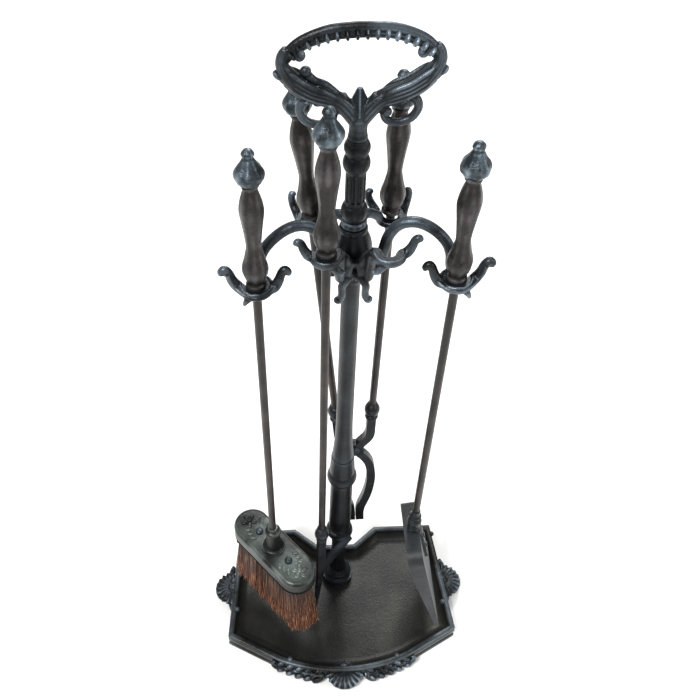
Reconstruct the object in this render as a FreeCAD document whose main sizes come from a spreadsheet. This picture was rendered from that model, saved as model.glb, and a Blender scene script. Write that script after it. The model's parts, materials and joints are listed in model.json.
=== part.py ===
import FreeCAD, Part
import Sketcher
import math
import os
from FreeCAD import Placement, Rotation, Vector

# A fireplace tool set: a cast-iron stand with a dish-shaped tray, a turned and
# stacked column, hook brackets and a carrying handle, and four hanging tools:
# a brush, a poker, a shovel and a pair of scissor tongs with two grips.
# Origin: on the ground, under the middle of the tray's footprint.  +Z up, the tray's
# bow towards -Y.  Heights and places are worked out from the column's axis, which
# stands behind the origin, and every piece is moved back by that setback at the end.

doc = FreeCAD.newDocument("FireplaceToolSet")
sheet = doc.addObject("Spreadsheet::Sheet", "Sizes")

DRIVING_SIZES = {
    # tray
    "tray_rim_height": 24.0,
    "tray_floor_top": 12.0,
    "tray_floor_wall": 4.0,
    "tray_rear_half_width": 119.0,
    "tray_front_half_width": 132.0,
    "tray_rear_depth": 57.0,
    "tray_corner_depth": 79.0,
    "tray_bow_half_width": 75.0,
    "tray_bow_depth": 110.0,
    "tray_bow_sag": 15.0,
    "tray_notch_half_width": 49.0,
    "tray_notch_floor_half_width": 22.0,
    "tray_notch_depth": 34.0,
    "tray_lip_width": 5.0,
    "tray_cove_width": 15.0,
    "shell_radius": 23.0,
    "shell_side_depth": 15.0,
    "shell_thickness": 9.0,
    "shell_rib_radius": 2.4,
    "leaf_tooth_size": 9.0,
    "bead_radius": 4.0,
    # column
    "tie_rod_radius": 4.0,
    "column_bore": 4.4,
    "tie_rod_end": 664.0,
    "plinth_radius": 18.0,
    "foot_neck_radius": 8.0,
    "foot_top": 118.0,
    "lower_ring_radius": 15.0,
    "lower_shaft_radius": 12.0,
    "lower_column_top": 228.0,
    "collar_ring_radius": 15.5,
    "collar_cup_radius": 11.5,
    "collar_top": 272.0,
    "main_shaft_radius": 7.5,
    "main_column_top": 532.0,
    "hub_radius": 10.5,
    "front_sleeve_top": 548.0,
    "tendril_ring_top": 552.0,
    "bell_radius": 15.0,
    "bell_top": 578.0,
    "rear_sleeve_top": 586.0,
    "flute_shaft_radius": 7.4,
    "flute_radius": 1.5,
    "fluted_column_top": 656.0,
    "total_height": 741.0,
    # carrying handle
    "handle_half_width": 54.0,
    "handle_thickness": 9.0,
    "handle_arch_radius": 3.2,
    # hooks
    "outer_reach": 73.5,
    "inner_reach": 22.4,
    "front_depth": 38.0,
    "rear_reach": 30.5,
    "rear_depth": 22.0,
    "outer_seat": 557.0,
    "inner_seat": 586.0,
    "rear_seat": 568.0,
    "hook_bar_radius": 4.0,
    "cradle_radius": 9.0,
    "rear_cradle_radius": 9.5,
    "arm_bearing": 100.0,
    "seat_gap": 0.3,
    "passage_gap": 0.3,
    # grips and rods
    "rod_radius": 3.5,
    "grip_length": 94.0,
    "grip_base_radius": 7.5,
    "grip_bulge_radius": 9.8,
    "grip_waist_radius": 5.6,
    "grip_upper_radius": 8.8,
    "finial_ball_radius": 10.6,
    "finial_height": 27.0,
    "rod_in_finial": 8.0,
    # brush
    "brush_turn": 50.0,
    "brush_half_length": 56.0,
    "brush_half_width": 20.0,
    "brush_cap_top": 160.0,
    "brush_cap_height": 20.0,
    "brush_cap_wall": 2.5,
    "brush_ferrule_height": 40.0,
    "bristle_bottom": 50.0,
    "bristle_spread": 8.0,
    # poker
    "poker_turn": 26.0,
    "poker_knob_radius": 7.5,
    "poker_knob_height": 183.0,
    "poker_blade_top": 170.0,
    "poker_tip_height": 17.0,
    "poker_tip_offset": 7.0,
    "poker_blade_thickness": 5.0,
    "poker_spur_reach": 37.0,
    "poker_spur_height": 146.0,
    # shovel
    "pan_tilt": 12.0,
    "pan_heel_height": 186.0,
    "pan_length": 140.0,
    "pan_lip_half_width": 48.0,
    "pan_heel_half_width": 38.0,
    "pan_depth": 16.0,
    "pan_wall": 1.6,
    "pan_back_offset": 6.0,
    "strap_thickness": 3.0,
    "strap_width": 14.0,
    "strap_length": 52.0,
    "shovel_rivet_radius": 1.6,
    # tongs
    "tongs_lean": 2.5,
    "tongs_rod_splay": 2.84,
    "tongs_rod_drop": 252.0,
    "tongs_knob_drop": 14.0,
    "tongs_grip_rise": 318.0,
    "leg_width": 9.0,
    "leg_thickness": 8.0,
    "claw_length": 142.0,
    "claw_bow": 18.0,
    "boss_radius": 10.0,
    "pivot_pin_radius": 3.0,
    "pivot_pin_clearance": 0.06,
}


class Size:
    """A dimension: its present number, and the sheet formula that gives it."""

    def __init__(self, number, formula):
        self.number = number
        self.formula = formula

    def __add__(self, other):
        return Size(self.number + number_of(other), "(%s + %s)" % (self.formula, formula_of(other)))

    def __radd__(self, other):
        return self + other

    def __sub__(self, other):
        return Size(self.number - number_of(other), "(%s - %s)" % (self.formula, formula_of(other)))

    def __rsub__(self, other):
        return Size(number_of(other) - self.number, "(%s - %s)" % (formula_of(other), self.formula))

    def __mul__(self, other):
        return Size(self.number * number_of(other), "(%s * %s)" % (self.formula, formula_of(other)))

    def __rmul__(self, other):
        return self * other

    def __truediv__(self, other):
        return Size(self.number / number_of(other), "(%s / %s)" % (self.formula, formula_of(other)))

    def __neg__(self):
        return Size(-self.number, "(-1 * %s)" % self.formula)


def number_of(value):
    """The number of a Size or of a plain number."""
    return value.number if isinstance(value, Size) else float(value)


def formula_of(value):
    """The formula of a Size, or a plain number written out."""
    return value.formula if isinstance(value, Size) else "%.6f" % value


def sine(angle):
    """Sine of an angle in degrees."""
    return Size(math.sin(math.radians(number_of(angle))), "sin(%s * 1deg)" % formula_of(angle))


def cosine(angle):
    """Cosine of an angle in degrees."""
    return Size(math.cos(math.radians(number_of(angle))), "cos(%s * 1deg)" % formula_of(angle))


class SizeBook:
    """Every driving size, as an attribute with the name of its cell."""


s = SizeBook()
for row, (name, number) in enumerate(DRIVING_SIZES.items(), start=1):
    sheet.set("A%d" % row, name)
    sheet.set("B%d" % row, "%g" % number)
    sheet.setAlias("B%d" % row, name)
    setattr(s, name, Size(number, "Sizes.%s" % name))
doc.recompute()

# The front shell's centre, how far its ribs reach, and how far the column's axis
# stands behind the middle of the footprint.
shell_front_depth = s.tray_bow_depth + s.tray_bow_sag - s.shell_radius * 0.3
shell_reach = s.shell_radius + s.shell_rib_radius * 0.6
column_setback = (shell_front_depth + shell_reach - s.tray_rear_depth) / 2


# ---------------------------------------------------------------- helpers

def bind(thing, path, value):
    """Tie a property to the sheet, where its value comes from there."""
    if isinstance(value, Size):
        thing.setExpression(path, value.formula)


def put(thing, x, y, z, spin=Rotation()):
    """Set where a thing stands in its own container."""
    thing.Placement = Placement(Vector(number_of(x), number_of(y), number_of(z)), spin)
    bind(thing, "Placement.Base.x", x)
    bind(thing, "Placement.Base.y", y)
    bind(thing, "Placement.Base.z", z)


def place(thing, x=0, y=0, z=0, axis=None, angle=0):
    """Stand a sub-part at a point given from the column's axis, turned about an axis."""
    spin = Rotation(axis, number_of(angle)) if axis else Rotation()
    put(thing, x, y + column_setback, z, spin)
    if axis and isinstance(angle, Size):
        thing.setExpression("Placement.Rotation.Angle", "%s * 1deg" % angle.formula)


def new_body(label):
    """An empty sub-part, named after its node."""
    body = doc.addObject("PartDesign::Body", label)
    body.Label = label
    place(body)
    return body


def sketch_on(body, plane, name, offset=0):
    """A sketch on one of the body's own planes, set off along its normal."""
    sketch = body.newObject("Sketcher::SketchObject", "%s_%s" % (body.Name, name))
    support = [part for part in body.Origin.OriginFeatures if part.Role == plane][0]
    sketch.AttachmentSupport = [(support, "")]
    sketch.MapMode = "FlatFace"
    sketch.AttachmentOffset = Placement(Vector(0, 0, number_of(offset)), Rotation())
    bind(sketch, "AttachmentOffset.Base.z", offset)
    return sketch


def arc_between(start, finish, sag):
    """An arc that bows by sag to the right of the way from start to finish."""
    along = finish - start
    side = 1 if sag > 0 else -1
    outward = Vector(along.y, -along.x, 0).normalize() * side
    half, depth = along.Length / 2, abs(sag)
    radius = (half * half + depth * depth) / (2 * depth)
    centre = (start + finish) / 2 + outward * (depth - radius)
    first, last = (start, finish) if side > 0 else (finish, start)
    angles = [math.atan2(point.y - centre.y, point.x - centre.x) for point in (first, last)]
    return Part.ArcOfCircle(Part.Circle(centre, Vector(0, 0, 1), radius), angles[0], angles[1])


def draw_outline(sketch, corners):
    """A closed outline, anticlockwise, of (x, y) corners; a third value bows the edge before it."""
    points = [Vector(number_of(corner[0]), number_of(corner[1]), 0) for corner in corners]
    edges = []
    for index, corner in enumerate(corners):
        start, finish = points[index - 1], points[index]
        if len(corner) < 3:
            edges.append((sketch.addGeometry(Part.LineSegment(start, finish), False), 1, 2))
            continue
        sag = corner[2]
        edge = sketch.addGeometry(arc_between(start, finish, number_of(sag)), False)
        edges.append((edge, 1, 2) if number_of(sag) > 0 else (edge, 2, 1))
    for index, corner in enumerate(corners):
        edge, _, last = edges[index]
        after, first, _ = edges[(index + 1) % len(edges)]
        sketch.addConstraint(Sketcher.Constraint("Coincident", edge, last, after, first))
        for kind, value in (("DistanceX", corner[0]), ("DistanceY", corner[1])):
            fixed = sketch.addConstraint(
                Sketcher.Constraint(kind, -1, 1, edge, last, number_of(value)))
            bind(sketch, "Constraints[%d]" % fixed, value)
        if len(corner) == 3:
            before = corners[index - 1]
            across, up, sag = corner[0] - before[0], corner[1] - before[1], corner[2]
            depth = sag if number_of(sag) > 0 else -sag
            radius = ((across * across + up * up) / 4 + depth * depth) / (depth * 2)
            held = sketch.addConstraint(Sketcher.Constraint("Radius", edge, number_of(radius)))
            bind(sketch, "Constraints[%d]" % held, radius)


def draw_circle(sketch, x, y, radius):
    """A circle, fixed by its centre and radius."""
    centre = Vector(number_of(x), number_of(y), 0)
    circle = sketch.addGeometry(Part.Circle(centre, Vector(0, 0, 1), number_of(radius)), False)
    for kind, value in (("DistanceX", x), ("DistanceY", y)):
        fixed = sketch.addConstraint(Sketcher.Constraint(kind, -1, 1, circle, 3, number_of(value)))
        bind(sketch, "Constraints[%d]" % fixed, value)
    held = sketch.addConstraint(Sketcher.Constraint("Radius", circle, number_of(radius)))
    bind(sketch, "Constraints[%d]" % held, radius)


def pad(body, sketch, length, both_ways=False, backwards=False):
    """Extrude a sketch; both_ways centres it on the sketch plane."""
    feature = body.newObject("PartDesign::Pad", "%s_pad" % sketch.Name)
    feature.Profile = sketch
    feature.Length = number_of(length)
    bind(feature, "Length", length)
    feature.Midplane = both_ways
    feature.Reversed = backwards
    body.Tip = feature
    return feature


def pocket(body, sketch, length, both_ways=False, backwards=False):
    """Cut a sketch out of the body, against the sketch's normal."""
    feature = body.newObject("PartDesign::Pocket", "%s_pocket" % sketch.Name)
    feature.Profile = sketch
    feature.Length = number_of(length)
    bind(feature, "Length", length)
    feature.Midplane = both_ways
    feature.Reversed = backwards
    body.Tip = feature
    return feature


def revolve(body, corners, name="profile"):
    """Turn a profile of (radius, height) corners about the body's own Z axis."""
    sketch = sketch_on(body, "XZ_Plane", name)
    draw_outline(sketch, corners)
    feature = body.newObject("PartDesign::Revolution", "%s_turned" % sketch.Name)
    feature.Profile = sketch
    feature.ReferenceAxis = (sketch, ["V_Axis"])
    feature.Angle = 360
    body.Tip = feature
    return feature


def turned(label, corners):
    """A sub-part turned from one profile."""
    body = new_body(label)
    revolve(body, corners)
    return body


def rounded_path(points):
    """Straight runs joined by tangent arcs, as one wire."""
    edges = []
    here = points[0]
    for before, corner, after in zip(points, points[1:], points[2:]):
        arriving = (corner - before).normalize()
        leaving = (after - corner).normalize()
        trim = 0.45 * min(before.distanceToPoint(corner), corner.distanceToPoint(after))
        turn = arriving.getAngle(leaving)
        radius = trim / math.tan(turn / 2)
        inward = (leaving - arriving).normalize()
        middle = corner + inward * (radius / math.cos(turn / 2) - radius)
        first, last = corner - arriving * trim, corner + leaving * trim
        edges.append(Part.LineSegment(here, first).toShape())
        edges.append(Part.Arc(first, middle, last).toShape())
        here = last
    edges.append(Part.LineSegment(here, points[-1]).toShape())
    return Part.Wire(edges)


def swept(path, section, area):
    """Sweep a closed section along a path, and check what came of it."""
    bar = path.makePipeShell([section], True, False)
    expected = area * path.Length
    if abs(bar.Volume - expected) > 0.03 * expected:
        raise ValueError("a swept bar has the wrong volume")
    return bar


def round_bar(points, radius, ball=0):
    """A round bar along points, with a ball of its own radius at its far end."""
    path = rounded_path(points)
    ring = Part.Wire(Part.makeCircle(radius, points[0], points[1] - points[0]))
    bar = swept(path, ring, math.pi * radius ** 2)
    return [bar, Part.makeSphere(ball, points[-1])] if ball else [bar]


def ring_corners(centre, radius, degrees):
    """Points on a level ring about a centre, at the given bearings."""
    bearings = [math.radians(angle) for angle in degrees]
    return [centre + Vector(math.cos(turn), math.sin(turn), 0) * radius for turn in bearings]


def mirrored(shapes):
    """The shapes and their left-hand twins."""
    twins = [shape.mirror(Vector(0, 0, 0), Vector(1, 0, 0)) for shape in shapes]
    return list(shapes) + twins


def casting(label, solids, cuts=()):
    """One free-form casting: its solids in one, less its cuts."""
    shape = solids[0].multiFuse(solids[1:])
    if cuts:
        shape = shape.cut(Part.makeCompound(list(cuts)))
    if len(shape.Solids) != 1:
        raise ValueError("%s is not in one piece" % label)
    feature = doc.addObject("Part::Feature", label)
    feature.Label = label
    feature.Shape = shape.Solids[0]
    place(feature)
    return feature


def post(radius, bottom, top):
    """A plain cylinder on the column's axis."""
    return Part.makeCylinder(radius, top - bottom, Vector(0, 0, bottom))


# ---------------------------------------------------------------- tray

# How far each corner of the tray moves, across and back, per millimetre of inset.
MITRE_REAR = (1.0, 1.0)
MITRE_NOTCH = (0.45, 1.0)
MITRE_FRONT = (1.0, 0.65)
MITRE_BOW = (0.3, 1.05)


def tray_outline(inset):
    """The tray's outline, moved inwards by inset."""
    notch_x = s.tray_notch_half_width + inset * MITRE_NOTCH[0]
    notch_floor = s.tray_notch_floor_half_width + inset * MITRE_NOTCH[0]
    rear_y = s.tray_rear_depth - inset * MITRE_REAR[1]
    notch_y = s.tray_notch_depth - inset * MITRE_NOTCH[1]
    rear_x = s.tray_rear_half_width - inset * MITRE_REAR[0]
    front_x = s.tray_front_half_width - inset * MITRE_FRONT[0]
    front_y = inset * MITRE_FRONT[1] - s.tray_corner_depth
    bow_x = s.tray_bow_half_width - inset * MITRE_BOW[0]
    bow_y = inset * MITRE_BOW[1] - s.tray_bow_depth
    return [
        (bow_x, bow_y, s.tray_bow_sag), (front_x, front_y), (rear_x, rear_y),
        (notch_x, rear_y), (notch_floor, notch_y), (-notch_floor, notch_y),
        (-notch_x, rear_y), (-rear_x, rear_y), (-front_x, front_y), (-bow_x, bow_y),
    ]


def fan_of_ribs(body, name, x, y, facing, height):
    """A half shell: a disc sector carrying radial ribs, facing a bearing in degrees."""
    base = sketch_on(body, "XY_Plane", "%s_disc" % name, height)
    draw_circle(base, x, y, s.shell_radius)
    pad(body, base, s.shell_thickness)
    for step in range(-3, 4):
        bearing = facing + step * 26
        rib = sketch_on(body, "XY_Plane", "%s_rib%d" % (name, step + 3), height)
        outer = s.shell_radius - s.shell_rib_radius
        draw_circle(rib, x + outer * cosine(bearing), y + outer * sine(bearing),
                    s.shell_rib_radius * 1.6)
        pad(body, rib, s.shell_thickness + s.shell_rib_radius)


def leaf_edge(body, side):
    """A toothed leaf along the bow, from the front shell to the bow's corner."""
    name = "right" if side > 0 else "left"
    sketch = sketch_on(body, "XY_Plane", "leaf_%s" % name, s.tray_floor_top * 0.5)
    slope = s.tray_bow_sag * 0.85
    start, span = s.shell_radius * 0.8, s.tray_bow_half_width - s.shell_radius * 0.8
    inside = s.tray_lip_width
    teeth = []
    for step in range(6):
        x = start + span * (step / 5.0)
        edge = slope * (step / 5.0) - (s.tray_bow_depth + s.tray_bow_sag)
        teeth.append((x, edge - s.leaf_tooth_size * (0.75 - 0.08 * step)))
        if step < 5:
            teeth.append((x + span * 0.06, edge - 1.0))
    back = [(start + span, inside - s.tray_bow_depth),
            (start, inside - (s.tray_bow_depth + s.tray_bow_sag))]
    corners = teeth + back
    if side < 0:
        corners = [(-x, y) for x, y in reversed(corners)]
    draw_outline(sketch, corners)
    pad(body, sketch, s.shell_thickness * 0.8)


def rim_bead(body, name, x, y):
    """A small round bead standing on the rim."""
    bead = body.newObject("PartDesign::AdditiveSphere", "bead_%s" % name)
    bead.Radius = number_of(s.bead_radius)
    bind(bead, "Radius", s.bead_radius)
    put(bead, x, y, s.tray_rim_height - s.bead_radius * 0.4)
    body.Tip = bead


def make_tray():
    """The dish: a polygonal floor in a high coved rim, with shells, leaves and beads."""
    body = new_body("base_tray")
    outline = sketch_on(body, "XY_Plane", "outline")
    draw_outline(outline, tray_outline(Size(0, "0")))
    pad(body, outline, s.tray_rim_height)

    side_x = s.tray_front_half_width - s.shell_radius * 0.27
    fan_of_ribs(body, "shell_front", Size(0, "0"), -shell_front_depth, -90, s.tray_floor_top * 0.5)
    fan_of_ribs(body, "shell_right", side_x, -s.shell_side_depth, 0, s.tray_floor_top * 0.5)
    fan_of_ribs(body, "shell_left", -side_x, -s.shell_side_depth, 180, s.tray_floor_top * 0.5)
    leaf_edge(body, 1)
    leaf_edge(body, -1)

    lip = sketch_on(body, "XY_Plane", "cove_top", s.tray_rim_height)
    draw_outline(lip, tray_outline(s.tray_lip_width))
    floor = sketch_on(body, "XY_Plane", "cove_floor", s.tray_floor_top)
    draw_outline(floor, tray_outline(s.tray_cove_width))
    dish = body.newObject("PartDesign::SubtractiveLoft", "dish")
    dish.Profile = floor
    dish.Sections = [lip]
    dish.Ruled = True
    body.Tip = dish

    under = sketch_on(body, "XY_Plane", "underside")
    draw_outline(under, tray_outline(s.tray_cove_width * 0.8))
    pocket(body, under, s.tray_floor_top - s.tray_floor_wall, backwards=True)

    hole = sketch_on(body, "XY_Plane", "rod_hole", s.tray_floor_top)
    draw_circle(hole, 0, 0, s.column_bore)
    pocket(body, hole, s.tray_floor_top)

    for side, name in ((1, "right"), (-1, "left")):
        middle = s.tray_front_half_width - s.tray_lip_width * 1.3
        rim_bead(body, "rear_%s" % name, side * (middle - 5.0), s.shell_radius - s.shell_side_depth)
        rim_bead(body, "side_%s" % name, side * (middle - 1.5), -s.shell_radius - s.shell_side_depth)
        rim_bead(body, "front_%s" % name, side * (s.tray_bow_half_width - 8.0),
                 s.tray_lip_width * 0.6 - s.tray_bow_depth)
    return body


# ---------------------------------------------------------------- column

def make_column():
    """The stacked column pieces, threaded on one tie rod."""
    bore = s.column_bore
    floor = s.tray_floor_top
    neck = s.foot_neck_radius
    turned("column_foot", [
        (bore, floor), (s.plinth_radius, floor), (s.plinth_radius, floor + 9),
        (neck + 4, floor + 13, -1.5), (neck + 4.5, floor + 20, 2.5), (neck + 1, floor + 24, -0.8),
        (neck, floor + 40), (neck, s.foot_top - 12), (neck + 2.5, s.foot_top, -1.2),
        (bore, s.foot_top),
    ])
    ring = s.lower_ring_radius
    shaft = s.lower_shaft_radius
    turned("lower_column", [
        (bore, s.foot_top), (ring - 4, s.foot_top), (ring - 4, s.foot_top + 11, 4),
        (shaft, s.foot_top + 16, -1.5), (shaft - 0.5, s.lower_column_top),
        (bore, s.lower_column_top),
    ])
    bottom = s.lower_column_top
    cup = s.collar_cup_radius
    turned("column_collar", [
        (bore, bottom), (s.collar_ring_radius - 3.5, bottom),
        (s.collar_ring_radius - 3, bottom + 15, 3), (cup + 1.5, bottom + 18, -0.6),
        (cup, s.collar_top), (bore, s.collar_top),
    ])
    slim = s.main_shaft_radius
    turned("main_column", [
        (bore, s.collar_top), (cup - 0.5, s.collar_top), (slim + 0.5, s.collar_top + 73, -0.9),
        (slim, s.main_column_top - 12), (slim + 0.5, s.main_column_top, 2.2),
        (bore, s.main_column_top),
    ])
    bell = s.bell_radius
    turned("bell_cap", [
        (bore, s.tendril_ring_top), (bell - 1, s.tendril_ring_top),
        (bell, s.tendril_ring_top + 3, 0.5), (s.hub_radius - 0.5, s.bell_top - 5, 1.2),
        (s.hub_radius - 0.5, s.bell_top, 0.9), (bore, s.bell_top),
    ])
    flute = s.flute_shaft_radius
    bottom = s.rear_sleeve_top
    top = s.fluted_column_top
    column = turned("fluted_column", [
        (bore, bottom), (flute + 1, bottom), (flute + 1, bottom + 12, 1.6), (flute, bottom + 15, -0.6),
        (flute, top - 28), (flute + 0.8, top - 26), (flute + 0.8, top - 15, 1.6),
        (flute, top - 14), (flute + 0.5, top - 12), (flute + 0.5, top - 3, 1.4),
        (flute - 0.4, top), (bore, top),
    ])
    groove = sketch_on(column, "XY_Plane", "flute", bottom + 17)
    draw_circle(groove, flute + s.flute_radius * 0.4, 0, s.flute_radius)
    cut = pocket(column, groove, top - 30 - (bottom + 17), backwards=True)
    flutes = column.newObject("PartDesign::PolarPattern", "flutes")
    flutes.Originals = [cut]
    flutes.Axis = (groove, ["N_Axis"])
    flutes.Angle = 360
    flutes.Occurrences = 10
    column.Tip = flutes

    rod_bottom = 1.6
    rod = doc.addObject("Part::Cylinder", "tie_rod")
    rod.Label = "tie_rod"
    rod.Radius = number_of(s.tie_rod_radius)
    rod.Height = number_of(s.tie_rod_end - rod_bottom)
    bind(rod, "Radius", s.tie_rod_radius)
    bind(rod, "Height", s.tie_rod_end - rod_bottom)
    place(rod, 0, 0, rod_bottom)

    under_floor = s.tray_floor_top - s.tray_floor_wall
    washer = new_body("tie_washer")
    plate = sketch_on(washer, "XY_Plane", "plate")
    draw_circle(plate, 0, 0, s.tie_rod_radius * 2.1)
    draw_circle(plate, 0, 0, s.column_bore)
    pad(washer, plate, 1.2)
    place(washer, 0, 0, under_floor - 1.2)

    nut = new_body("tie_nut")
    hexagon = sketch_on(nut, "XY_Plane", "hexagon")
    across = s.tie_rod_radius * 1.85
    draw_outline(hexagon, [(across * cosine(60 * step), across * sine(60 * step)) for step in range(6)])
    draw_circle(hexagon, 0, 0, s.tie_rod_radius)
    pad(nut, hexagon, 4.8)
    place(nut, 0, 0, under_floor - 6.0)


# ---------------------------------------------------------------- hooks

def passage_radius():
    """Radius kept clear above each seat, for a grip to be lifted through."""
    return s.finial_ball_radius.number + s.passage_gap.number


def seat_cut(x, y, seat):
    """The flat seat and the passage above it."""
    return Part.makeCylinder(passage_radius(), s.total_height.number, Vector(x, y, seat))


def make_front_bracket():
    """Four forward hooks cast with one sleeve: two long outer arms and two short inner ones."""
    bar = s.hook_bar_radius.number
    ring = s.cradle_radius.number
    depth = s.front_depth.number
    sleeve = post(s.hub_radius.number, s.main_column_top.number, s.front_sleeve_top.number)
    root = (s.main_column_top.number + s.front_sleeve_top.number) / 2
    sink = bar * 0.62

    reach, seat = s.outer_reach.number, s.outer_seat.number
    centre = Vector(reach, -depth, seat - sink)
    clear = bell_clear() + bar
    beside = passage_radius() + bar + 0.8      # how far the arm keeps from the hanging grip's axis
    lean = math.radians(s.arm_bearing.number)
    drop = Vector(reach + beside * math.cos(lean), -depth + beside * math.sin(lean), 0)
    arm = [
        Vector(5, -3, root), Vector(clear * 0.85, -clear * 0.5, root + 2),
        Vector(clear * 1.05, -clear * 0.58, root + 24), Vector(reach * 0.44, -depth * 0.35, seat + 31),
        Vector(reach * 0.60, -depth * 0.43, seat + 36), Vector(drop.x - 13, drop.y + 3, seat + 30),
        Vector(drop.x - 4, drop.y + 1, seat + 21), Vector(drop.x, drop.y, seat + 10),
        Vector(drop.x, drop.y, seat + 2),
    ]
    arm += ring_corners(centre, ring, (105, 145, 185, 225, 265, 305))
    arm += [centre + Vector(14, 1, 2), centre + Vector(19, 2, 12), centre + Vector(24, 2, 16)]
    outer = round_bar(arm, bar, ball=bar * 1.1)
    leaf = [centre + Vector(-ring * 0.9, -3, 0), centre + Vector(-14, 0, 2), centre + Vector(-19, 2, 12),
            centre + Vector(-23, 2, 16)]
    outer += round_bar(leaf, bar * 0.85, ball=bar)
    spike = [centre + Vector(6, -ring, 0), centre + Vector(11, -ring - 2, -4), centre + Vector(13, -ring, -9)]
    outer += round_bar(spike, bar * 0.5)
    seats = [seat_cut(side * reach, -depth, seat) for side in (1, -1)]

    reach, seat = s.inner_reach.number, s.inner_seat.number
    centre = Vector(reach, -depth, seat - sink)
    arm = [Vector(3, -5, root), Vector(clear * 0.46, -clear * 0.9, root + 2),
           Vector(reach - 11, -depth + 11, root + 28)]
    arm += ring_corners(centre, ring, (180, -140, -100, -60, -20))
    arm += [centre + Vector(13, 2, 1), centre + Vector(17, 3, 8), centre + Vector(20, 3, 11)]
    inner = round_bar(arm, bar, ball=bar * 1.1)
    seats += [seat_cut(side * reach, -depth, seat) for side in (1, -1)]

    bore = post(s.column_bore.number, s.main_column_top.number - 1, s.front_sleeve_top.number + 1)
    casting("front_hook_bracket", [sleeve] + mirrored(outer) + mirrored(inner), seats + [bore])


def make_rear_bracket():
    """Two cradles behind the column, open to the rear, for the tongs."""
    bar = s.hook_bar_radius.number * 0.9
    ring = s.rear_cradle_radius.number
    reach, depth, seat = s.rear_reach.number, s.rear_depth.number, s.rear_seat.number
    sink = bar * 0.62
    bottom, top = s.bell_top.number, s.rear_sleeve_top.number
    sleeve = post(s.hub_radius.number, bottom, top)
    root = (bottom + top) / 2
    centre = Vector(reach, depth, seat - sink)
    outward = Vector(reach, depth, 0)
    far = outward.Length
    outward.normalize()
    shoulder = far - passage_radius() - bar
    stem = [outward * 5 + Vector(0, 0, root), outward * (shoulder * 0.6) + Vector(0, 0, root),
            outward * shoulder + Vector(0, 0, seat + 5), outward * (far - ring) + Vector(0, 0, seat - sink)]
    cup = [centre + Vector(-15, 14, 6), centre + Vector(-11, 7, 1)]
    cup += ring_corners(centre, ring, (-180, -135, -90, -45, 0))
    cup += [centre + Vector(11, 7, 1), centre + Vector(14, 14, 6)]
    solids = round_bar(stem, bar) + round_bar(cup, bar, ball=bar)
    solids.append(Part.makeSphere(bar * 1.1, cup[0]))
    seats = [seat_cut(side * reach, depth, seat) for side in (1, -1)]
    bore = post(s.column_bore.number, bottom - 1, top + 1)
    casting("rear_hook_bracket", [sleeve] + mirrored(solids), seats + [bore, post(bell_clear(), 0, bottom)])


def bell_clear():
    """Radius kept clear around the bell."""
    return s.bell_radius.number + 1.5


def make_tendrils():
    """The curled tendrils that hang from a ring under the bell, in front of the column."""
    bottom, top = s.front_sleeve_top.number, s.tendril_ring_top.number
    ring = post(s.hub_radius.number + 1, bottom, top)
    bore = post(s.column_bore.number, bottom - 1, top + 1)
    front = -s.hub_radius.number
    middle = (bottom + top) / 2
    side_scroll = [Vector(8, 3, middle), Vector(17, 3, middle), Vector(21, 1, middle - 10)]
    fork = [Vector(0.8, front * 0.8, middle), Vector(2.4, front - 6, middle),
            Vector(2.6, front - 11, middle - 6), Vector(3.2, front - 11.5, middle - 14),
            Vector(9, front - 11.5, middle - 20), Vector(9.5, front - 11.5, middle - 30)]
    scrolls = round_bar(side_scroll, 1.9, ball=3.0) + round_bar(fork, 1.9, ball=3.4)
    casting("leaf_tendrils", [ring] + mirrored(scrolls), [bore])


# ---------------------------------------------------------------- carrying handle

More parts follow.
